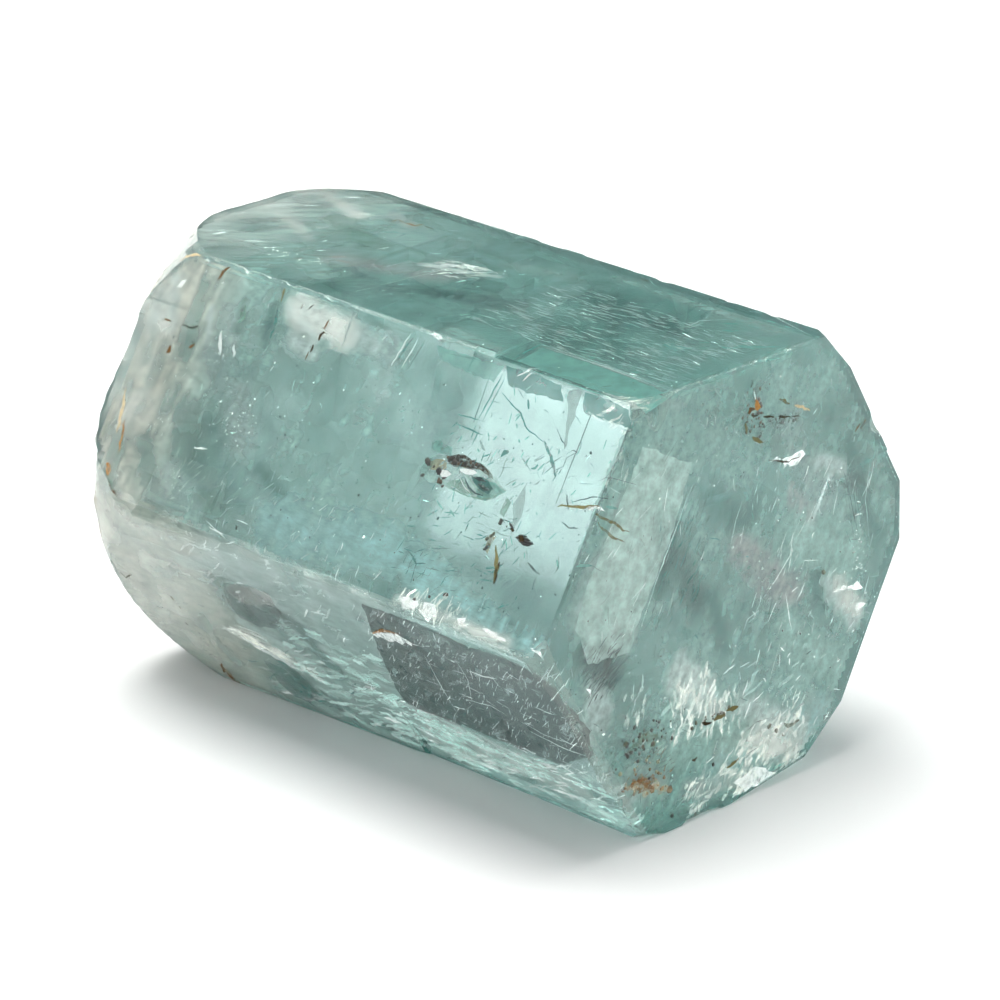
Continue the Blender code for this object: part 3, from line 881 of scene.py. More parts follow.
# cracks, scratches and stains close under the faces: width in mm, tint, cover, and the way they run
crackLook = {
    "depth": 0.16,                  # mm under the face
    "stainDepth": -0.045,           # iron stains sit where a crack comes out, over the frost
    "stainGrowth": 1.9,
    "step": 0.3,                    # mm between points
    "upperFront": [
        (0.26, "orange", 0.45, [(-17.8, -6.6), (-17.6, -7.1), (-17.5, -7.5)]),
        (0.10, "rust", 0.6, [(-17.3, -7.8), (-16.9, -8.2), (-16.2, -8.5)]),
        (0.16, "cream", 0.5, [(-18.9, -1.6), (-18.4, -3.0), (-18.2, -4.6)]),
        (0.10, "orange", 0.5, [(-17.9, -3.6), (-17.5, -4.8), (-17.3, -5.8)]),
        (0.14, "cream", 0.5, [(-19.0, 7.7), (-18.0, 8.3), (-16.8, 8.5)]),
        (0.12, "deep", 0.75, [(12.4, 7.5), (11.8, 4.3)]),
        (0.08, "deep", 0.7, [(12.7, 7.4), (12.2, 4.3)]),
        (0.1, "deep", 0.8, [(11.8, 4.3), (10.1, 4.2)]),
        (0.1, "deep", 0.8, [(10.2, 3.6), (12.7, 3.5)]),
        (0.1, "deep", 0.8, [(12.9, 6.4), (14.1, 5.9), (15, 5.6), (15.9, 4.8), (17.6, 4.4)]),
        (0.26, "deep", 0.7, [(17.6, 4.4), (18.7, 3.7), (19.6, 2.5)]),
        (0.2, "deep", 0.85, [(15.1, 6.5), (15.5, 6)]),
        (0.3, "deep", 0.6, [(14.7, 2.7), (15.2, 3.1)]),
        (0.25, "deep", 0.6, [(17.5, 2.5), (17.9, 2.9)]),
        (0.22, "deep", 0.6, [(12.6, 3.1), (13.3, 2.6)]),
        (0.06, "smoke", 0.6, [(19.9, 3.2), (19.9, 3.9), (20.5, 4.4)]),
        (0.05, "smoke", 0.6, [(23, 3.2), (23.4, 3.5), (24.3, 4)]),
        (0.12, "smoke", 0.7, [(21, 1.8), (21.5, 0.9)]),
        (0.07, "smoke", 0.8, [(21.3, 1.3), (22.9, 2.1), (24.3, 2.6)]),
        (0.22, "white", 0.9, [(21.6, 1.1), (22.8, 1.4), (24.6, 2.1)]),
        (0.1, "olive", 0.8, [(20.7, 0.9), (22.2, 1.3), (23.7, 1.8)]),
        (0.12, "smoke", 0.75, [(21.4, 0.1), (22.1, -0.1), (22.8, -0)]),
        (0.07, "smoke", 0.7, [(23.7, 1.2), (24, 0.9), (24, 0.4)]),
        (0.07, "smoke", 0.6, [(19.8, 4.1), (20.1, 4.5), (20.6, 4.4)]),
        (0.06, "smoke", 0.6, [(18.3, 5.4), (19, 4.8), (19.5, 4.6)]),
        (0.1, "smoke", 0.7, [(21.1, -4.5), (21, -4.1), (21, -3.7)]),
        (0.08, "smoke", 0.6, [(22.3, -3.1), (22.4, -2.6), (22.1, -2)]),
        (0.14, "smoke", 0.6, [(19.9, -3), (20.6, -3.3), (21.2, -3.4)]),
        (0.13, "deep", 0.6, [(10.1, -5), (10.7, -5.2), (11.2, -5.6), (11.4, -6.8)]),
        (0.09, "rust", 0.9, [(-3.4, 7.2), (-3.5, 6.5)]),
        (0.16, "umber", 0.9, [(-3.5, 6.4), (-3.6, 5.7)]),
        (0.13, "umber", 0.9, [(-3.8, 5.3), (-3.9, 4.8)]),
        (0.07, "rust", 0.7, [(-4, 4.8), (-4.1, 4.2)]),
        (0.12, "rust", 0.7, [(-14.2, 7.3), (-14.1, 7.9), (-13.7, 8.4)]),
        (0.1, "olive", 0.7, [(-8.1, 7.3), (-8.1, 7.7), (-8.2, 8.2)]),
        (0.09, "rust", 0.7, [(-17.7, 3.7), (-17, 3.6)]),
        (0.07, "umber", 0.6, [(-15.9, 3.7), (-15.2, 3.7), (-14.3, 4)]),
        (0.16, "rust", 0.8, [(-16.4, 1.6), (-16.2, 2.1)]),
        (0.18, "rust", 0.8, [(-14.5, 2.4), (-14.3, 2.8)]),
        (0.07, "umber", 0.6, [(-6.1, 7.3), (-6.1, 7.6)]),
        (0.06, "umber", 0.6, [(-5.5, 7.4), (-5.1, 7.8)]),
        (0.14, "olive", 0.8, [(17.1, -2.7), (17.6, -3.5), (18, -4.9)]),
        (0.12, "umber", 0.8, [(17.8, -3.6), (18.1, -5)]),
        (0.16, "umber", 0.8, [(18.6, -1.7), (19.1, -1.8)]),
        (0.14, "umber", 0.8, [(17.7, -1.4), (18, -1.6)]),
        (0.3, "white", 0.7, [(-12.4, 4.2), (-11.7, 2.6)]),
        (0.22, "white", 0.6, [(-10.8, 3.6), (-10.5, 2.8)]),
        (0.4, "green", 0.6, [(-11.2, 6.3), (-11, 5.1)]),
        (0.35, "deep", 0.6, [(-8.3, 6.8), (-7.8, 4.8)]),
        (0.14, "white", 0.6, [(3.2, 5.7), (3.8, 8.1)]),
        (0.22, "deep", 0.5, [(3.5, 6), (4.1, 7.9)]),
        (0.12, "white", 0.6, [(4.1, 5.8), (4.6, 7.9)]),
        (0.12, "deep", 0.5, [(4.7, 5.9), (5.2, 8)]),
        (0.14, "white", 0.9, [(13.6, 7.7), (14.7, 8.6)]),
        (0.12, "white", 0.9, [(14.2, 7.5), (14.6, 8.2)]),
        (0.07, "white", 0.9, [(-4.9, -7.1), (-3.8, -7.1)]),
        (0.09, "white", 0.9, [(-7.1, -8.2), (-5.6, -8.3)]),
        (0.08, "white", 0.9, [(-5.1, -8.8), (-4.4, -8.5)]),
        (0.06, "white", 0.8, [(-7.5, -7.9), (-5.3, -8.5)]),
        (0.07, "white", 0.9, [(5.1, -8.5), (5.1, -7.6)]),
        (0.07, "white", 0.9, [(4.7, -6.5), (4.7, -6)]),
        (0.06, "white", 0.9, [(6.7, -7.8), (6.7, -7)]),
        (0.06, "white", 0.8, [(8.3, -7.5), (8.7, -6.8)]),
        (0.05, "white", 0.8, [(6.8, -5.2), (6.9, -4.7)]),
    ],
    "top": [
        (0.08, "rust", 0.8, [(-12.4, 4.7), (-12.4, 5.3), (-11.7, 5.1)]),
        (0.12, "rust", 0.9, [(-11.7, 5.1), (-10.7, 5.2), (-10.4, 5.8)]),
        (0.07, "umber", 0.7, [(-10.2, 5.6), (-9.1, 5.5)]),
        (0.12, "white", 0.9, [(16.1, 2.9), (16.4, 3.5), (16.2, 4.9), (17.4, 6.5)]),
        (0.06, "white", 0.7, [(16.6, 3.1), (16.7, 4.6)]),
        (0.1, "aqua", 0.95, [(12, -5.4), (14, -5.2), (17.1, -5.3), (20.8, -5.5), (24.6, -5.8)]),
        (0.08, "white", 0.8, [(12.8, -5.6), (17.4, -5.5), (22.8, -5.8)]),
        (0.12, "deep", 0.8, [(12.3, -8.2), (12.1, -6.8), (12, -5.4)]),
        (0.05, "white", 0.8, [(7.6, -3), (7.6, -0.6), (7.3, 1.9)]),
        (0.05, "white", 0.7, [(8.4, -3.9), (8.3, -0.7)]),
        (0.05, "white", 0.6, [(6.6, -4), (6.5, -0.9)]),
        (0.05, "white", 0.6, [(20, 4), (21.3, 4.6), (23.2, 4)]),
        (0.05, "white", 0.6, [(20.9, 3.6), (22.4, 4.3)]),
        (0.1, "umber", 0.6, [(7.9, 8), (8.6, 8.1)]),
        (0.06, "smoke", 0.6, [(6.8, 5.5), (7.2, 6.4)]),
    ],
    "lowerFront": [
        (0.07, "umber", 0.8, [(-19.4, 1.1), (-19.1, 0.7), (-18.1, 1.3)]),
        (0.12, "umber", 0.8, [(-14.8, 0.3), (-14.8, -0.1)]),
        (0.08, "umber", 0.8, [(-14.6, -0.6), (-14.6, -0.9)]),
        (0.09, "umber", 0.8, [(-15.1, -2.5), (-14.9, -2.7)]),
        (0.16, "rust", 0.8, [(-13.6, -6.2), (-14, -7.3)]),
        (0.14, "rust", 0.7, [(-13.6, -7.2), (-13.3, -7.9)]),
        (0.09, "olive", 0.8, [(-12.9, -7.6), (-12.5, -8.8), (-11.7, -9.4)]),
        (0.45, "white", 0.9, [(-9.4, -1.9), (-7.7, -2.7), (-4.5, -3.6)]),
        (0.1, "white", 0.9, [(-9, -0.6), (-7.1, -0.7), (-6.1, -1.1)]),
        (0.14, "white", 0.95, [(-5.7, -8.2), (-2.9, -8.6)]),
        (0.07, "white", 0.85, [(11.1, 4.2), (11, 1.3), (11.1, -1.3)]),
        (0.06, "white", 0.85, [(14.5, 5.2), (14.6, 3.3), (13.7, 0.9)]),
        (0.05, "white", 0.7, [(17.4, 5.3), (18, 3.7)]),
        (0.12, "white", 0.8, [(15.1, 4.5), (16.4, 4.5), (18.1, 4.9)]),
        (0.1, "white", 0.9, [(18.5, 0), (20, -0.2), (21.5, -0.4), (23.3, -0.2)]),
        (0.07, "white", 0.8, [(18, 0.8), (20, 0.3), (23.3, 0.6)]),
        (0.07, "white", 0.7, [(13, 0.7), (15.6, 1.2), (16.9, 0.8)]),
        (0.12, "white", 0.7, [(20.6, 3.3), (22.4, 3.3)]),
        (0.05, "white", 0.7, [(18.5, 1.8), (20.4, 1.8)]),
        (0.18, "white", 0.9, [(14.4, -3.6), (16.8, -3.9)]),
        (0.14, "white", 0.8, [(11.2, -3.6), (12.9, -3.9)]),
        (0.08, "aqua", 0.8, [(6.3, -5), (10.1, -5.8), (14.3, -6.5)]),
        (0.08, "deep", 0.8, [(7.7, -3.2), (9.2, -4.8), (11.6, -6.7)]),
        (0.08, "aqua", 0.8, [(11.4, -8.5), (17.1, -8.2), (21, -7.6)]),
        (0.1, "smoke", 0.6, [(3.1, -4.4), (3.5, -5.7)]),
        (0.12, "orange", 0.45, [(6.5, 4.5), (8.0, 5.5), (9.6, 5.7)]),
        (0.3, "orange", 0.36, [(-13.9, -6.4), (-13.5, -7.2), (-13.0, -8.1)]),
    ],
    "end": [
        (0.09, "umber", 0.9, [(1.3, 11.4), (1.9, 11.3)]),
        (0.09, "umber", 0.9, [(2.4, 11.1), (3.4, 10.8)]),
        (0.09, "umber", 0.9, [(3.8, 10.7), (5, 10.4)]),
        (0.06, "umber", 0.8, [(5.1, 10.4), (5.9, 10.2)]),
        (0.22, "rust", 0.9, [(1, 11.7), (1.5, 12)]),
        (0.26, "orange", 0.9, [(1.6, 11.8), (1.9, 12.3)]),
        (0.11, "white", 0.54, [(1.8, 12.4), (1.6, 13)]),
        (0.07, "umber", 0.8, [(1.2, 13.4), (1.4, 13.8)]),
        (0.12, "olive", 0.8, [(0.7, 11.1), (0.9, 10.4)]),
        (0.14, "olive", 0.8, [(1.4, 10), (2.4, 9.3)]),
        (0.12, "olive", 0.6, [(-12.9, 8.9), (-11.5, 8.0), (-9.8, 6.7)]),
        (0.09, "olive", 0.6, [(-12.3, 8.0), (-11.2, 6.8), (-10.2, 6.2)]),
        (0.12, "olive", 0.6, [(3.9, 11.9), (4.9, 11.3)]),
        (0.12, "cream", 0.7, [(5.4, 11.1), (6.9, 10.3)]),
        (0.07, "umber", 0.8, [(3, 8), (4.6, 7.4), (6, 7.4)]),
        (0.05, "smoke", 0.8, [(12, 6.8), (11.2, 5.7), (11, 3.7), (11.5, 1.8), (12.2, -0.1)]),
        (0.05, "smoke", 0.7, [(12.6, 6.3), (11.8, 4.9), (11.8, 2.8), (12.5, 0.3)]),
        (0.04, "white", 0.42, [(13.2, 5.5), (12.7, 2.5), (13.2, -0.4)]),
        (0.05, "smoke", 0.6, [(12.4, 6.1), (11.5, 3.9), (11.9, 0.6)]),
        (0.1, "rust", 0.7, [(11.4, 7.6), (11.9, 8)]),
        (0.1, "rust", 0.7, [(12, 7.6), (12.5, 8.1)]),
        (0.08, "aqua", 0.54, [(-3.9, 8.3), (-5.5, 5.6), (-7.2, 2.6), (-8.6, -0.2)]),
        (0.06, "white", 0.54, [(2.7, -1.5), (4.1, -0.4), (5.3, 0.8), (5.5, 2.3)]),
        (0.08, "white", 0.48, [(4.9, -1.8), (5.5, -4.5)]),
        (0.05, "white", 0.48, [(6.2, -0.8), (6.7, 0), (8.1, -0.4)]),
        (0.06, "white", 0.48, [(0.9, -3.2), (1.3, -2.5), (2.4, -2.2)]),
        (0.04, "white", 0.42, [(3.5, -7.4), (4, -6.1), (4.5, -5)]),
        (0.05, "white", 0.48, [(-0.4, 3), (0.1, 4.7), (0.7, 5.9)]),
        (0.05, "white", 0.42, [(0.5, 2.9), (0.9, 4.2)]),
        (0.07, "smoke", 0.7, [(6.9, -6.7), (7.5, -6.6)]),
        (0.04, "white", 0.42, [(1.3, -5.9), (2.2, -5.7)]),
        (0.04, "white", 0.42, [(1.7, -6.6), (2.5, -6.4)]),
        (0.16, "umber", 0.9, [(-3, -8.4), (-2.1, -8.6)]),
        (0.18, "olive", 0.9, [(-1.9, -8.5), (-0.9, -8.3)]),
        (0.16, "olive", 0.9, [(-0.7, -8.3), (0.4, -8.2)]),
        (0.12, "olive", 0.85, [(-0.6, -12.3), (0.5, -12)]),
        (0.1, "umber", 0.8, [(-3.9, -10.7), (-3.4, -10.6)]),
        (0.05, "smoke", 0.6, [(0.5, -12.8), (1.4, -12), (2.8, -11.8)]),
        (0.05, "smoke", 0.6, [(1.1, -10.4), (2.3, -10), (3.5, -10.1)]),
        (0.1, "white", 0.48, [(-10.3, -10.6), (-9.9, -10.3)]),
        (0.42, "cream", 0.26, [(-10.1, -10.5), (-8.6, -10.9), (-6.8, -11.7), (-5.7, -12.2)]),
        (0.22, "orange", 0.3, [(-9.6, -10.4), (-8.4, -10.7), (-7.4, -11.5)]),
        (0.30, "olive", 0.2, [(-9.8, -8.3), (-8.4, -7.6), (-6.2, -8.5)]),
        (0.18, "olive", 0.4, [(4.8, -10.9), (5.5, -11.2), (6.3, -11.1)]),
    ],
}


def makeCracks():
    rng = random.Random(11)
    airy, stained, dark = newBatch(), newBatch(), newBatch()
    for face in ("upperFront", "top", "lowerFront", "end"):
        for width, tint, cover, path in crackLook[face]:
            rusty = tint in rustyTints
            batch = airy if tint in airyTints else stained if rusty else dark
            grow = crackLook["stainGrowth"] if rusty else 1.0
            depth = crackLook["stainDepth"] if rusty else crackLook["depth"]
            addSliver(batch, face, path, width * grow, tint, min(1.0, cover * 1.2), depth, rng)
    makePiece("airyCracks", airy, airFilmWithPaintedGlow)
    makePiece("stainedCracks", stained, stainFilm)
    makePiece("darkCracks", dark, dropletFilm)


makeCracks()

# films with a clear outline: tint, cover, corners
filmLook = {
    "depth": 0.45,
    "ragged": 0.05,
    "upperFront": [
        ("deep", 0.7, [(12.3, 8.1), (14.7, 8.1), (17.1, 8), (17.8, 7.1), (15.2, 7), (13, 7)]),
        ("deep", 0.7, [(19.1, 8.1), (21.3, 8.1), (23.2, 7.9), (23.7, 7), (21.4, 6.9), (19.7, 6.9)]),
        ("ash", 0.5, [(17.9, 7.9), (19, 8.1), (19.3, 4.4)]),
        ("teal", 0.6, [(6.2, 7.9), (9.4, 7.9), (12.1, 8), (11.8, 6.8), (8.9, 7), (6.8, 7.2)]),
        ("ash", 0.4, [(17, 0), (17.4, 1.7), (18, -0.4), (17.7, -1.8)]),
    ],
    "top": [
        ("teal", 0.6, [(12.6, -8.1), (12.3, -5.6), (14.3, -5.5), (17.4, -5.5), (21.1, -5.7), (24.9, -6.2),
            (24.1, -8), (20, -8.3), (15.7, -8.2)]),
    ],
    "lowerFront": [
        # painted shade: this first smoke film darkens the part of the lower front face where the stone shows
        # refracted shade
        ("smoke", 0.74, [(7, 7.4), (12.2, 7.7), (16.5, 7.3), (19.9, 7.6), (21.9, 7.5), (23.1, 6.1),
            (23.6, 3.9), (23.7, 1.6), (23.5, -0.3), (19.8, -2.8), (17.1, -2.9), (14.4, -2.9),
            (12.1, -2.9), (8.2, -3.1), (5.5, -3.3), (5.2, -1.7), (5.8, 2.5)]),
        ("smoke", 0.48, [(-8.2, 3.4), (-6.2, 4.3), (-3.9, 4.6), (-2.9, 2.9), (-4.7, 0.5),
            (-6.8, 0.1), (-8.3, 0.4), (-8.7, 1.6)]),
        ("deep", 0.5, [(-8.5, -4.1), (-6.9, -4.1), (-5.9, -4.9), (-5.0, -6.2), (-5.8, -7.5),
            (-7.4, -7.4), (-8.3, -6.4)]),
    ],
    "end": [
        ("pale", 0.66, [(-8.2, 11.9), (-3.9, 9.6), (-5.5, 5.6), (-7.2, 2.6), (-8.9, -0.1), (-9.4, -1.5),
            (-13.1, -1.3), (-14.1, 1.5), (-12.8, 4.4), (-10.4, 8.3)]),
    ],
}


def makeFilms():
    rng = random.Random(12)
    airy, dull = newBatch(), newBatch()
    for face in ("upperFront", "top", "lowerFront", "end"):
        for tint, cover, corners in filmLook[face]:
            batch = airy if tint in airyTints else dull
            addFilm(batch, face, corners, tint, cover, filmLook["depth"], filmLook["ragged"], rng)
    makePiece("airyFilms", airy, filmMaterial("wispyAirFilmWithPaintedGlow", 0.5, 0.8, 0.5, 1.35, 0.9, 0.1))
    makePiece("dullFilmsAndPaintedShade", dull, filmMaterial("smokyFilmAndPaintedShade", 0.8, 0.0, 0.8, 1.12, 1.1))


makeFilms()

# painted highlights: white films, made to glow, where cracks catch the light: corners
glintLook = {
    "depth": 0.25,
    "ragged": 0.11,
    "cover": 0.85,
    "upperFront": [
        [(-17.9, 5.8), (-17.7, 6.4), (-17.3, 6.6), (-17.4, 6)],
        [(-16.2, 8.2), (-16.2, 8.6), (-15.8, 8.2)],
        [(-11.1, -3.8), (-10.7, -3.5), (-9.9, -3.4), (-10.4, -3.7)],
        [(10.8, -8.0), (12.0, -7.6), (12.6, -7.7), (12.3, -8.4), (11.3, -8.5)],
        [(12.9, -7.7), (13.7, -7.6), (14.3, -8.0), (13.6, -8.5), (12.8, -8.3)],
        [(15.9, -8.0), (16.5, -7.8), (17.1, -8.0), (16.4, -8.3)],
        [(18.2, -7.9), (19.4, -7.8), (20.4, -8.0), (19.2, -8.3)],
        [(22.4, -7.9), (23.2, -7.8), (23.2, -8.2)],
    ],
    "top": [
        [(-4.2, 0.2), (-3.7, 1.2), (-2.9, 1.8), (-2.8, 1.2), (-3.5, 0.5)],
        [(-2.1, 0.3), (-1.5, 1.4), (-0.4, 2.3), (-0.8, 1.5), (-1.5, 0.5)],
    ],
    "lowerFront": [
        [(6.2, 4.1), (7.4, 4.9), (8.8, 5.3), (9.9, 5.2), (10.9, 5.1), (9.3, 4.5), (7.4, 4)],
    ],
    "end": [
        [(4.4, 7.2), (4.5, 7.6), (6.3, 7.6), (6.5, 7.3), (6, 6.9), (4.6, 7)],
        [(3.2, 7.8), (3.9, 8), (4.2, 7.6)],
        [(9.6, -3.2), (10.3, -2.9), (11.9, -3.2), (12.6, -3.6), (11.3, -3.5), (10.4, -3.1)],
        [(11.5, -4.8), (12.3, -4.6), (12.9, -4.9), (12.1, -5.1)],
        [(-13.3, -2.8), (-12.9, -2.7), (-12.8, -3.3), (-13.1, -3.5)],
        [(0.2, -13.9), (2.1, -13.2), (4.4, -14.1), (3.1, -14.7), (1.2, -14.6)],
    ],
}


def makeGlints():
    rng = random.Random(13)
    batch = newBatch()
    for face in ("upperFront", "top", "lowerFront", "end"):
        for corners in glintLook[face]:
            addFilm(batch, face, corners, "white", glintLook["cover"], glintLook["depth"],
                    glintLook["ragged"], rng)
    makePiece("paintedGlintCracks", batch, paintedGlintFilm)


makeGlints()
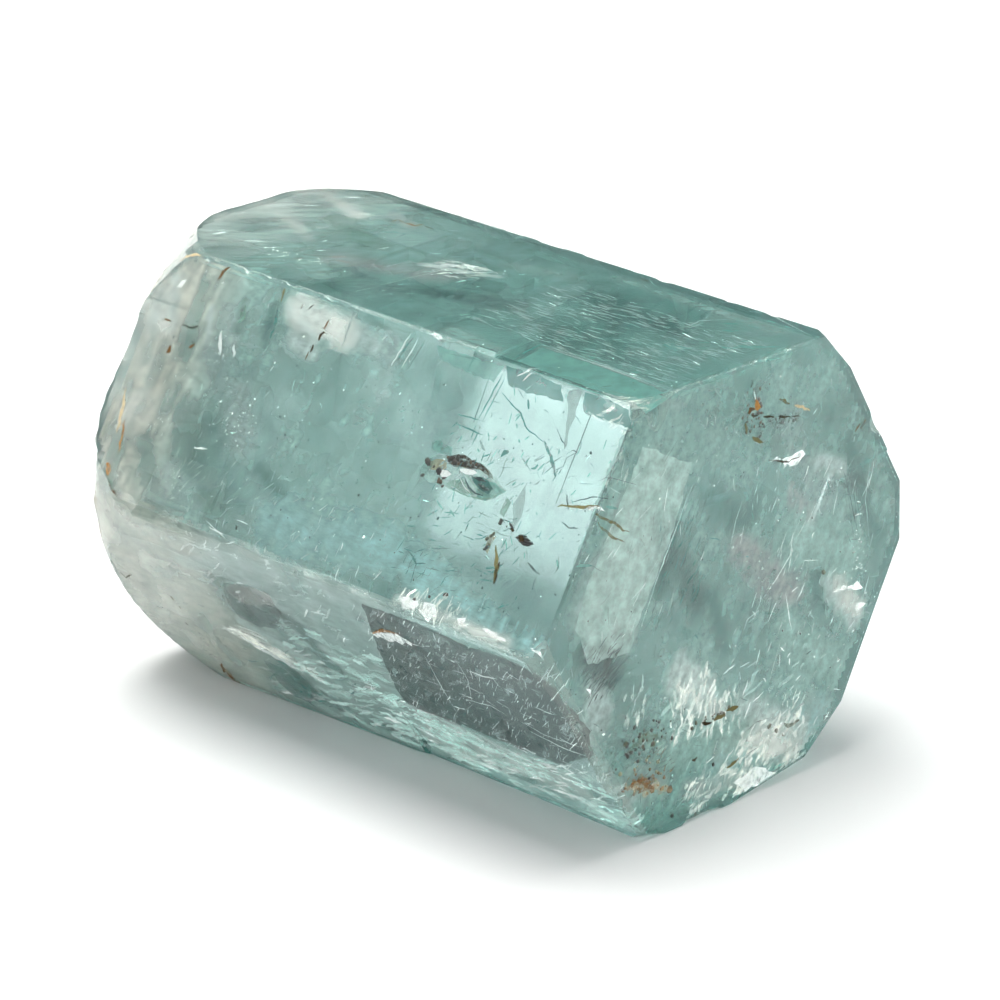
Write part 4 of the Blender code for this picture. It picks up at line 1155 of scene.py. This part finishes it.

# fine slits and scratches strewn over a field: face, how many, X range, across range, length and
# width in mm, heading from X and spread in degrees, tint, cover
# the flash and cloud slits glow: they are painted highlights and painted glow
strewnLook = {
    "depth": 0.25,
    "lean": {"lowerFront": 0.7},
    "fields": [
        ("upperFront", 120, (9.3, 20.0), (-7.0, 3.6), (0.25, 1.0), (0.045, 0.096), 62, 30, "deep", 0.8),
        ("upperFront", 60, (9.3, 18.0), (-7.0, -0.5), (0.3, 1.4), (0.045, 0.08), 8, 12, "deep", 0.75),
        ("upperFront", 60, (10.0, 24.0), (-3.0, 8.0), (0.2, 0.8), (0.06, 0.144), 100, 50, "teal", 0.9),
        ("upperFront", 50, (-22.0, 8.0), (-8.0, 8.0), (0.2, 0.7), (0.03, 0.07), 75, 30, "white", 0.7),
        ("upperFront", 60, (-14.0, 9.0), (-8.3, -3.5), (0.2, 0.9), (0.025, 0.06), 70, 30, "mist", 1.0),
        ("upperFront", 24, (-14.0, 9.0), (-8.3, -3.5), (0.2, 0.6), (0.025, 0.06), 60, 40, "white", 0.7),
        ("upperFront", 60, (-20.0, 24.0), (-8.4, 8.4), (0.2, 0.7), (0.03, 0.08), 20, 90, "pale", 0.6),
        ("top", 170, (5.0, 22.0), (-5.2, 4.5), (0.3, 1.3), (0.025, 0.055), 2, 14, "white", 0.7),
        ("top", 420, (5.0, 22.0), (-5.2, 4.5), (0.4, 1.6), (0.03, 0.06), 4, 12, "mist", 1.0),
        ("top", 110, (-22.0, -3.0), (-6.0, 7.5), (0.3, 1.3), (0.03, 0.09), 52, 18, "white", 0.55),
        ("top", 80, (-20.0, 24.0), (-8.0, 8.0), (0.3, 1.2), (0.045, 0.096), 50, 40, "smoke", 0.7),
        ("top", 60, (-6.0, 8.0), (-6.0, 4.0), (0.3, 1.2), (0.03, 0.07), 50, 25, "pale", 0.7),
        ("lowerFront", 460, (5.5, 23.5), (-2.8, 7.4), (0.15, 0.8), (0.038, 0.085), 66, 22, "flash", 0.95),
        ("lowerFront", 120, (5.5, 23.5), (-2.8, 7.4), (0.5, 1.8), (0.038, 0.08), 50, 8, "flash", 0.9),
        ("lowerFront", 90, (5.5, 23.5), (-2.8, 7.4), (0.3, 1.4), (0.038, 0.08), 2, 14, "flash", 0.9),
        ("lowerFront", 70, (5.5, 23.5), (-2.8, 7.4), (0.8, 2.6), (0.2, 0.7), 44, 16, "aqua", 0.22),
        ("lowerFront", 90, (5.0, 22.0), (-7.5, -2.5), (0.3, 1.6), (0.06, 0.16), 12, 30, "flash", 1),
        ("lowerFront", 130, (3.0, 22.5), (-8.4, -3.1), (1.0, 4.5), (0.15, 0.6), 2, 9, "aqua", 0.8),
        ("lowerFront", 50, (5.5, 21.0), (-7.6, -3.4), (0.8, 2.8), (0.1, 0.3), 5, 14, "flash", 1.0),
        ("lowerFront", 110, (-5.0, 5.0), (-8.2, 2.0), (0.8, 3.0), (0.15, 0.5), 4, 16, "aqua", 0.6),
        ("lowerFront", 34, (-11.0, 5.0), (-8.0, -1.0), (0.8, 2.0), (0.1, 0.3), 8, 24, "white", 0.95),
        ("lowerFront", 50, (-10.0, 3.0), (2.0, 8.0), (0.4, 1.4), (0.08, 0.24), 24, 30, "white", 0.6),
        ("end", 60, (-2.0, 12.0), (-14.0, -5.0), (0.2, 1.2), (0.04, 0.14), 34, 24, "white", 0.9),
        ("end", 50, (-7.0, 8.0), (-14.4, -6.0), (0.4, 2.0), (0.12, 0.4), 34, 20, "aqua", 0.35),
        ("end", 60, (2.0, 13.6), (-6.0, 7.0), (0.3, 1.6), (0.04, 0.09), 62, 12, "white", 0.75),
        ("end", 60, (-13.0, -5.0), (-1.0, 11.0), (0.4, 2.2), (0.03, 0.1), 54, 34, "smoke", 0.4),
        ("end", 40, (-13.0, -5.0), (-1.0, 11.0), (0.4, 2.0), (0.03, 0.08), 60, 30, "white", 0.5),
        ("end", 90, (-13.6, -10.0), (-3.8, 0.2), (0.4, 1.4), (0.04, 0.11), 40, 12, "smoke", 0.85),
        ("end", 60, (-6.8, -2.6), (-0.5, 6.6), (0.4, 1.7), (0.05, 0.16), 62, 14, "deep", 0.8),
        ("end", 50, (-9.0, 4.0), (-3.0, 8.0), (0.3, 1.4), (0.05, 0.13), 64, 14, "smoke", 0.6),
        ("end", 80, (-5.6, -1.6), (-9.2, -4.8), (0.3, 1.5), (0.12, 0.4), 78, 26, "cloud", 0.50),
        ("end", 50, (-2.4, 0.8), (-10.0, -7.2), (0.3, 1.2), (0.10, 0.35), 78, 30, "cloud", 0.50),
        ("end", 90, (0.8, 6.8), (-14.8, -10.8), (0.3, 1.4), (0.12, 0.42), 56, 36, "cloud", 0.55),
        ("end", 26, (4.6, 7.0), (-11.4, -9.2), (0.2, 0.9), (0.08, 0.28), 60, 40, "cloud", 0.60),
        ("end", 26, (-9.8, -7.8), (-6.6, -3.8), (0.2, 1.0), (0.08, 0.25), 70, 30, "cloud", 0.40),
        ("end", 30, (-12.4, -9.6), (9.2, 12.6), (0.3, 1.4), (0.08, 0.25), 60, 30, "cloud", 0.35),
        ("lowerFront", 60, (-22.0, 5.0), (-7.0, 7.5), (0.2, 0.8), (0.03, 0.09), 40, 40, "white", 0.6),
        ("lowerFront", 50, (-10.0, 20.0), (-8.0, -2.0), (0.3, 1.2), (0.075, 0.192), 15, 40, "deep", 0.7),
        ("end", 80, (-14.5, 14.5), (-13.0, 12.0), (0.2, 0.8), (0.03, 0.07), 60, 30, "white", 0.8),
        ("end", 70, (-14.5, 14.5), (-13.0, 12.0), (0.2, 1.1), (0.045, 0.096), 120, 50, "deep", 0.7),
        ("end", 30, (-2.0, 13.0), (-14.0, 4.0), (0.2, 0.6), (0.05, 0.12), 150, 60, "white", 0.9),
        ("upperBack", 160, (-22.0, 24.0), (-8.0, 8.0), (0.3, 1.4), (0.045, 0.112), 60, 60, "white", 0.9),
        ("lowerBack", 160, (-22.0, 24.0), (-8.0, 8.0), (0.3, 1.4), (0.045, 0.112), 20, 60, "white", 0.9),
        ("bottom", 120, (-22.0, 24.0), (-8.0, 8.0), (0.3, 1.4), (0.045, 0.112), 20, 60, "white", 0.9),
        ("end", 60, (-9.6, -5.0), (-11.6, -9.0), (0.2, 0.8), (0.05, 0.14), 30, 30, "orange", 0.6),
        ("lowerFront", 22, (-10.4, -7.8), (-2.3, -1.4), (0.8, 2.0), (0.10, 0.3), -12, 8, "cloud", 0.6),
        ("lowerFront", 22, (-8.0, -5.2), (-3.1, -2.1), (0.8, 2.0), (0.10, 0.3), -12, 8, "cloud", 0.6),
        ("end", 60, (-4.4, 1.4), (-14.6, -12.2), (0.3, 1.3), (0.10, 0.36), 40, 36, "cloud", 0.55),
        ("end", 60, (-13.4, -10.2), (-3.4, -0.6), (0.5, 1.8), (0.04, 0.10), 40, 16, "smoke", 0.8),
        ("end", 44, (10.6, 13.2), (0.6, 7.4), (0.5, 1.8), (0.04, 0.10), 112, 12, "smoke", 0.6),
        ("upperFront", 34, (20.4, 23.4), (6.4, 8.5), (0.4, 1.5), (0.08, 0.26), 20, 34, "cloud", 0.42),
        ("end", 40, (0.6, 5.4), (-12.8, -10.2), (0.3, 1.3), (0.10, 0.36), 50, 36, "cloud", 0.50),
        ("top", 44, (-4.4, -0.2), (-0.2, 2.4), (0.4, 1.5), (0.08, 0.26), 30, 24, "cloud", 0.55),
        ("upperFront", 40, (10.8, 16.6), (-8.3, -7.0), (0.4, 1.3), (0.08, 0.22), 76, 26, "cloud", 0.5),
    ],
    "reach": (-22.5, 24.0, -8.4, 8.4),
    "endReach": (-14.5, 14.5, -13.5, 13.5),
    # strewn grains: face, how many, tint, least and most size in mm
    "specks": [
        ("upperFront", 60, "smoke", 0.07, 0.2), ("upperFront", 70, "white", 0.07, 0.2),
        ("top", 30, "smoke", 0.07, 0.16), ("top", 60, "white", 0.07, 0.18),
        ("lowerFront", 40, "smoke", 0.07, 0.18), ("lowerFront", 60, "white", 0.07, 0.2),
        ("end", 70, "umber", 0.08, 0.2), ("end", 70, "white", 0.08, 0.22),
        ("upperBack", 30, "umber", 0.07, 0.2), ("upperBack", 50, "white", 0.07, 0.2),
        ("lowerBack", 30, "umber", 0.07, 0.2), ("lowerBack", 50, "white", 0.07, 0.2),
        ("bottom", 20, "umber", 0.07, 0.2), ("bottom", 40, "white", 0.07, 0.2),
    ],
    # crumbs of air in a close cluster: face, middle, reach in mm, how many, tint, size in mm
    "clusters": [
        ("upperFront", (-20.6, -1.5), (0.7, 2.2), 34, "white", 0.14),
        ("upperFront", (-14.6, -2.6), (1.6, 1.4), 36, "white", 0.11),
        ("upperFront", (-12.0, 2.0), (2.0, 1.6), 26, "white", 0.12),
        ("upperFront", (-7.8, -1.0), (1.8, 1.6), 46, "white", 0.11),
        ("upperFront", (-11.5, -6.0), (1.8, 1.4), 40, "white", 0.099),
        ("end", (4.2, -11.6), (2.4, 1.6), 40, "white", 0.3),
        ("end", (12.4, -2.4), (0.9, 3.2), 40, "white", 0.22),
        ("end", (-8.2, -8.0), (2.6, 1.2), 26, "umber", 0.3),
        ("end", (-7.6, -11.2), (2.0, 0.9), 30, "orange", 0.34),
        ("end", (1.9, 11.4), (1.0, 1.8), 40, "rust", 0.32),
        ("end", (-1.4, -8.4), (1.8, 0.3), 26, "olive", 0.34),
        ("end", (-8.0, -10.4), (2.4, 1.3), 30, "cream", 0.34),
        ("end", (4.2, 10.2), (2.4, 0.5), 26, "umber", 0.26),
        ("upperFront", (-22.4, 0.5), (0.8, 2.6), 40, "cream", 0.4),
        ("upperFront", (-22.2, -5.5), (0.8, 1.6), 26, "orange", 0.26),
        ("lowerFront", (12.0, -4.6), (6.0, 0.8), 40, "white", 0.24),
        ("top", (-13.0, -4.2), (2.6, 1.4), 30, "white", 0.2),
    ],
}


def makeStrewn():
    rng = random.Random(14)
    airy, dark, bright = newBatch(), newBatch(), newBatch()
    for face, count, xs, vs, lengths, widths, heading, spread, tint, cover in strewnLook["fields"]:
        for _ in range(count):
            x, v = rng.uniform(*xs), rng.uniform(*vs)
            turn = math.radians(heading + rng.uniform(-spread, spread))
            reach = rng.uniform(*lengths) * 0.5
            bend = rng.uniform(-0.06, 0.06) * reach
            ends = [(x - math.cos(turn) * reach, v - math.sin(turn) * reach),
                    (x - math.sin(turn) * bend, v + math.cos(turn) * bend),
                    (x + math.cos(turn) * reach, v + math.sin(turn) * reach)]
            tilt = (rng.gauss(0.0, 0.15), rng.gauss(strewnLook["lean"].get(face, 0.0), 0.15))
            batch = airy if tint in airyTints else bright if tint in paintedGlintTints else dark
            addSliver(batch, face, ends, rng.uniform(*widths), tint, cover * rng.uniform(0.6, 1.1),
                      strewnLook["depth"] + rng.uniform(0.0, 0.5), rng, tilt)
    makePiece("brightSlits", airy, airFilmWithPaintedGlow)
    makePiece("darkSlits", dark, dropletFilm)
    makePiece("paintedGlintSlits", bright, paintedGlintFilm)


makeStrewn()


def grainMaterial():
    # dark mica and iron oxide grains grown into the beryl: near black, brown at thin edges
    material, tree = newMaterial("includedMineralGrain")
    tint = addNode(tree, "ShaderNodeAttribute", {"attribute_name": "tint"})
    place = addNode(tree, "ShaderNodeTexCoord")
    mottle = addNode(tree, "ShaderNodeTexNoise", inputs={
        "Vector": place.outputs["Object"], "Scale": perMetre(0.2), "Detail": 2.0})
    shade = addNode(tree, "ShaderNodeMix", {"data_type": 'RGBA', "blend_type": 'MULTIPLY'}, {
        0: 0.6, 6: tint.outputs["Color"], 7: mottle.outputs["Color"]})
    grain = addNode(tree, "ShaderNodeBsdfPrincipled", inputs={
        "Base Color": shade.outputs[2], "Roughness": 0.4, "IOR": 1.6})
    addNode(tree, "ShaderNodeOutputMaterial", inputs={"Surface": grain.outputs["BSDF"]})
    return material


# mineral grains and specks: tint, size in mm, places
speckLook = {
    "depth": 0.25,
    "stainGrowth": 1.6,
    "upperFront": [
        ("umber", 0.3, [(10.7, 0.2), (10.9, -0.4), (9, 0.7)]),
        ("smoke", 0.18, [(16.1, 3.4), (21.4, 4.7), (22.9, -0.3), (24.2, -0.6), (17.1, -5.5), (16.6, -4.8),
            (11.5, -2.4), (9.9, -2.7), (9, -5.4), (4.4, -2.8), (3.2, -0.4), (1.6, 3.9), (2.4, 4.2),
            (-4.9, 3.7), (-4.7, 0.2), (-3.6, -0.8), (-7.3, -1.4), (-16.5, 2.7), (16.6, -1.1), (16.7, 4)]),
        ("white", 0.22, [(-6.8, -1.5), (-7.3, 0.7), (-8.8, -0.7), (-6.8, 3.4), (-2.8, 3), (3.9, -0.6),
            (6.1, -5.2)]),
        ("umber", 0.2, [(-4.8, -7.6), (13.2, -7.2), (12, -7.7), (14.3, -6.7)]),
    ],
    "top": [
        ("white", 0.22, [(9.8, 3.7), (-6.8, 5.7), (2.9, -7.1), (22.8, -4.3)]),
    ],
    "lowerFront": [
        ("smoke", 0.14, [(1.5, 6.7), (1, 3.5), (3.6, 1.4), (2.2, 1.5)]),
    ],
    "end": [
        ("umber", 0.26, [(-9, -6.8), (-7.4, -7.5), (-9.3, -8.4), (-8.5, -7.4), (-10.6, -9.2),
            (-6.4, -8.3), (-5.5, -8.7), (-9.6, -8.6), (-3.2, -14.8), (-5.5, -14.1), (-8.6, -9.3),
            (-1.6, -11.8)]),
        ("orange", 0.34, [(-8.4, -10.6), (-7.9, -11.2), (-8.6, -11.2), (-9.2, -10.7), (-7.3, -11.7),
            (-6.4, -11.9), (-5.8, -12.2)]),
        ("umber", 0.24, [(-9.9, -10.7), (-7.6, -10.8), (-6.1, -11.8), (-5.6, -12.1)]),
        ("olive", 0.34, [(3.7, -10.8), (4.3, -11.3), (5, -11.8), (-9.8, -7.7), (-8.2, -8.4), (-7.3, -8.5),
            (8.8, -1.5)]),
        ("white", 0.3, [(-7.3, -11.3), (-6.9, -11.6), (-7.5, -11.6), (-6.8, -8.5), (10.3, 5.3),
            (10.2, 5.1), (-6.2, -5.7), (0, 2.8), (-11.7, -6.4)]),
        ("smoke", 0.2, [(-9.3, 1.2), (-11.8, -2.9), (-14.7, -2.4), (0.2, 7.7), (0.9, 7.7), (-2.8, 2.8)]),
    ],
}


def grainForm():
    # points and faces of one grain, a millimetre across before it is sized
    bm = bmesh.new()
    bmesh.ops.create_icosphere(bm, subdivisions=1, radius=0.5)
    corners = [v.co.copy() for v in bm.verts]
    faces = [[v.index for v in f.verts] for f in bm.faces]
    bm.free()
    return corners, faces


grainCorners, grainFaces = grainForm()


def addGrain(batch, place, normal, size, tint, rng):
    # a small angular grain, flattened toward the face it lies under
    turn = Matrix.Rotation(rng.uniform(0.0, math.tau), 3, normal)
    long = Vector((rng.uniform(0.8, 1.4), rng.uniform(0.6, 1.0), rng.uniform(0.6, 1.0)))
    points = []
    for corner in grainCorners:
        offset = turn @ Vector(c * s for c, s in zip(corner * rng.uniform(0.75, 1.2), long))
        offset -= normal * offset.dot(normal) * 0.45
        points.append(place + offset * size * mm)
    addPatch(batch, points, grainFaces, tint, 1.0)


def makeGrains():
    rng = random.Random(15)
    minerals, bubbles = newBatch(), newBatch()
    spots = []
    for face in ("upperFront", "top", "lowerFront", "end"):
        for tint, size, places in speckLook[face]:
            grow = speckLook["stainGrowth"] if tint in rustyTints else 1.0
            spots += [(face, x, v, size * grow * rng.uniform(0.7, 1.2), tint) for x, v in places]
    for face, count, tint, least, most in strewnLook["specks"]:
        reach = strewnLook["endReach" if face == "end" else "reach"]
        spots += [(face, rng.uniform(*reach[:2]), rng.uniform(*reach[2:]), rng.uniform(least, most), tint)
                  for _ in range(count)]
    for face, (x, v), (reachX, reachV), count, tint, size in strewnLook["clusters"]:
        spots += [(face, x + rng.gauss(0.0, 0.5) * reachX, v + rng.gauss(0.0, 0.5) * reachV,
                   size * rng.uniform(0.4, 1.2), tint) for _ in range(count)]
    for face, x, v, size, tint in spots:
        place = under(face, x, v, speckLook["depth"] + rng.uniform(0.0, 0.3))
        if place is not None:
            addGrain(bubbles if tint in airyTints else minerals, place, faceNormal(face), size, tint, rng)
    makePiece("mineralGrains", minerals, grainMaterial())
    makePiece("airCrumbs", bubbles, airFilmWithPaintedGlow)


makeGrains()

# a pocket of liquid near the middle of the upper front face, with a rim of stained crystals
pocketLook = {
    "depth": 0.9,
    "films": [
        ("pale", 0.35, [(8.6, 0.8), (9.3, 1.3), (10.3, 1.5), (11.6, 1.7), (13, 1.8), (13.9, 1.5),
                        (14.7, 1.2), (15.3, 0.9), (15.9, 0.7), (15.1, 0), (14.5, -0.3), (13.6, -0.4),
                        (12.3, -0.3), (10.9, -0.4), (9.5, -0.4), (8.6, -0.2), (8.4, 0.3)]),
        ("olive", 0.55, [(10.3, 1.4), (10.9, 1.6), (11.6, 1.75), (12.4, 1.8), (13.2, 1.75), (14, 1.5),
                         (14.5, 1.1), (13.7, 1.3), (13.1, 1.4), (12.5, 1.2), (11.7, 1.15),
                         (11.1, 1.0), (10.5, 1.1)]),
        ("cream", 0.45, [(8.7, 0.7), (9.4, 1.1), (10.3, 1.2), (10.5, 0.7), (9.8, 0.4), (9, 0.3)]),
        ("teal", 0.75, [(13.9, 0.9), (14.8, 0.9), (15.9, 0.7), (15.1, 0), (14.5, -0.3), (13.8, -0.3),
                        (13.4, 0.1)]),
        ("deep", 0.85, [(12.7, 0.8), (13.5, 1.0), (14.2, 0.9), (14.8, 0.5), (14.6, 0.15), (13.9, 0.15),
                        (13.2, 0.45)]),
        ("smoke", 0.8, [(12.8, 0.8), (13.5, 0.95), (14.2, 0.85), (13.5, 0.65)]),
        ("smoke", 0.7, [(13.5, 0.5), (14.1, 0.55), (14.7, 0.4), (14.3, 0.25)]),
        ("green", 0.5, [(11.2, 0.1), (12.2, 0.5), (13, 0.1), (13.6, -0.3), (12.3, -0.3), (11, -0.2)]),
        ("teal", 0.45, [(8.6, 2.1), (9.4, 2.2), (10.4, 2.1), (10.6, 1.6), (9.6, 1.5), (8.8, 1.6)]),
        ("green", 0.5, [(16.2, 0.4), (16.7, 0.2), (16.6, -0.9), (16.1, -0.7)]),
        ("cream", 0.5, [(16.0, -2.2), (16.5, -2.2), (16.4, -3.4), (16.0, -3.2)]),
    ],
    # painted highlights: small white films, made to glow, where the pocket catches the light
    "glints": [
        [(11.8, 1.0), (12.2, 1.15), (12.9, 1.2), (13.3, 1.1), (13.0, 0.92), (12.4, 0.82), (11.9, 0.85)],
        [(10.4, 0.55), (10.8, 0.62), (11.3, 0.5), (11.0, 0.25), (10.6, 0.1), (10.4, 0.25)],
        [(10.1, 1.25), (10.3, 1.3), (10.3, 1.15)],
    ],
    # width, tint, path
    "lines": [
        (0.13, "umber", [(10.3, 1.45), (11.0, 1.65), (11.8, 1.78), (12.8, 1.78)]),
        (0.12, "umber", [(12.4, 1.75), (13.3, 1.7), (14.1, 1.4), (14.4, 1.15)]),
        (0.09, "umber", [(11.0, 1.15), (11.7, 1.25), (12.5, 1.35), (13.4, 1.4)]),
        (0.08, "smoke", [(12.4, 0.6), (13.0, 0.1), (13.7, -0.1), (14.4, -0.1)]),
        (0.06, "green", [(12.5, 0.8), (13.2, 0.4), (14.0, 0.1), (14.6, 0.0)]),
        (0.07, "green", [(10.7, -0.1), (11.9, -0.4), (13.2, -0.42), (14.3, -0.33), (15.1, 0.0), (15.9, 0.7)]),
        (0.05, "umber", [(8.7, 0.8), (9.1, 0.7)]),
        (0.05, "white", [(12.0, 0.5), (12.6, 0.05), (13.4, -0.25)]),
    ],
    # size, tint, places
    "grains": [
        (0.42, "black", [(10.1, 0.42), (10.25, 0.35)]),
        (0.34, "rust", [(10.4, -0.1), (10.65, -0.15)]),
        (0.36, "umber", [(10.7, 1.35), (11.2, 1.3), (10.9, 1.5), (12.7, 1.45), (13.2, 1.6), (13.7, 1.5),
                         (11.6, 1.5), (12.1, 1.45), (11.3, 1.6), (8.9, 0.75)]),
        (0.22, "rust", [(10.5, 1.45), (11.0, 1.2), (11.5, 1.3), (12.4, 1.6), (13.0, 1.6), (9.6, 0.6)]),
        (0.3, "umber", [(16.55, -1.15), (16.6, -1.3), (16.2, -3.0), (16.1, -3.2), (9.0, -0.2)]),
        (0.26, "olive", [(16.2, -2.2), (16.0, -2.5), (16.4, -2.1), (16.3, -2.8)]),
    ],
    # the laths of the dark crystal beside the pocket: X and across at both ends, width
    "laths": [
        ((18.25, -1.64), (19.0, -1.52), 0.2), ((18.1, -1.8), (19.35, -1.68), 0.24),
        ((18.4, -1.94), (19.7, -1.82), 0.24), ((18.7, -2.06), (19.5, -1.98), 0.18),
        ((17.2, -1.1), (17.75, -1.4), 0.2),
    ],
    "lathThick": 0.2,
    "lineGrowth": 1.5,
    "grainGrowth": 1.25,
}


def addLath(batch, start, end, width, thick, depth):
    # a six-sided lath with slanted tips
    first, last = under("upperFront", *start, depth), under("upperFront", *end, depth)
    normal = faceNormal("upperFront")
    run = (last - first).normalized()
    side = run.cross(normal)
    points = []
    for middle, grow in ((first, 0.25), (first + run * 0.2 * mm, 1.0), (last - run * 0.25 * mm, 0.9),
                         (last, 0.2)):
        for k in range(6):
            turn = math.radians(60.0 * k)
            points.append(middle + side * math.cos(turn) * width * 0.5 * grow * mm
                          + normal * math.sin(turn) * thick * 0.5 * grow * mm)
    faces = [[6 * row + k, 6 * row + (k + 1) % 6, 6 * row + 6 + (k + 1) % 6, 6 * row + 6 + k]
             for row in range(3) for k in range(6)]
    faces += [list(range(5, -1, -1)), list(range(18, 24))]
    addPatch(batch, points, faces, "black", 1.0)


def makePocket():
    rng = random.Random(16)
    face, deep = "upperFront", pocketLook["depth"]
    films, lines, grains, glints = newBatch(), newBatch(), newBatch(), newBatch()
    for layer, (tint, cover, corners) in enumerate(pocketLook["films"]):
        addFilm(films, face, corners, tint, min(1.0, cover + 0.15), deep - 0.04 * layer, 0.03, rng)
    for width, tint, path in pocketLook["lines"]:
        addSliver(lines, face, path, width * pocketLook["lineGrowth"], tint, 0.95, deep - 0.5, rng)
    for size, tint, places in pocketLook["grains"]:
        for x, v in places:
            place = under(face, x + rng.gauss(0.0, 0.03), v + rng.gauss(0.0, 0.03), deep - 0.5)
            grown = size * pocketLook["grainGrowth"] * rng.uniform(0.85, 1.1)
            addGrain(grains, place, faceNormal(face), grown, tint, rng)
    for start, end, width in pocketLook["laths"]:
        addLath(grains, start, end, width, pocketLook["lathThick"], deep - 0.4)
    for corners in pocketLook["glints"]:
        addFilm(glints, face, corners, "white", 0.95, deep - 0.55, 0.02, rng)
    makePiece("pocketFilms", films, dropletFilm)
    makePiece("pocketLines", lines, stainFilm)
    makePiece("pocketGrains", grains, bpy.data.materials["includedMineralGrain"])
    makePiece("pocketPaintedGlints", glints, airFilmWithPaintedGlow)


makePocket()

# bruised edges: thin pale lines, partly wear and partly a painted highlight where the edges catch the light,
# with chips, along the prism edges and round the flat end
edgeLook = {
    "step": 0.45,
    "line": 0.06,                   # mm wide
    "lineCover": 0.45,
    "chip": (0.05, 0.15),           # mm across
    "chipShare": 0.5,
    "depth": 0.09,
    "ends": (-19.0, 23.6),
    "rimX": 24.0,
    "rimHalf": 8.5,                 # mm to each side along the rim of the flat end
}


def prismEdge(first, second, x):
    # a place on the edge where two prism faces meet, and the way out of it
    one, two = faceNormal(first), faceNormal(second)
    cosine = one.dot(two)
    farOne, farTwo = crystalShape["faces"][first][1], crystalShape["faces"][second][1]
    scale = 1.0 - cosine * cosine
    place = one * (farOne - farTwo * cosine) / scale + two * (farTwo - farOne * cosine) / scale
    place += crystalShape["axis"] + Vector((crystalShape["sectionX"] + x * mm, 0.0, 0.0))
    return place, (one + two).normalized()


def makeEdges():
    rng = random.Random(17)
    batch = newBatch()
    names = list(crystalShape["faces"])
    lines = []
    for first, second in zip(names, names[1:] + names[:1]):
        low, high = edgeLook["ends"]
        count = int((high - low) / edgeLook["step"])
        lines.append([prismEdge(first, second, low + k * edgeLook["step"]) for k in range(count)])
    for face in names:
        out = (faceNormal(face) + Vector((1.0, 0.0, 0.0))).normalized()
        half = edgeLook["rimHalf"]
        count = int(2.0 * half / edgeLook["step"])
        lines.append([(onFace(face, edgeLook["rimX"], -half + k * edgeLook["step"]), out)
                      for k in range(count)])
    for line in lines:
        path = []
        for place, out in line:
            hit, _, _, distance = bodyTree.ray_cast(place + out * 3.0 * mm, -out)
            if hit is not None and distance < 5.0 * mm:
                path.append((hit - out * edgeLook["depth"] * mm, out))
        for (p, out), (q, _) in zip(path, path[1:]):
            if (q - p).length > 2.0 * edgeLook["step"] * mm:
                continue
            run = (q - p).normalized()
            side = run.cross(out)
            half = 0.5 * edgeLook["line"] * rng.uniform(0.3, 1.4) * mm
            addPatch(batch, [p - side * half, p + side * half, q + side * half, q - side * half],
                     [[0, 1, 2, 3]], "pale", edgeLook["lineCover"] * rng.uniform(0.3, 1.0))
            if rng.random() < edgeLook["chipShare"]:
                size = rng.uniform(*edgeLook["chip"]) * mm
                corners = []
                for k in range(6):
                    turn = math.radians(60.0 * k)
                    corners.append(p + (run * math.cos(turn) * 1.3 + side * math.sin(turn) * 0.7)
                                   * size * rng.uniform(0.35, 1.0))
                addPatch(batch, corners, [list(range(6))], "white", rng.uniform(0.3, 0.8))
    makePiece("bruisedEdgesAndPaintedShine", batch, veilMaterial("berylEdgeWearAndPaintedShine", 1.0, 0.0, 0.7, 1.25))


makeEdges()
print("cracks, grains and stains ready")
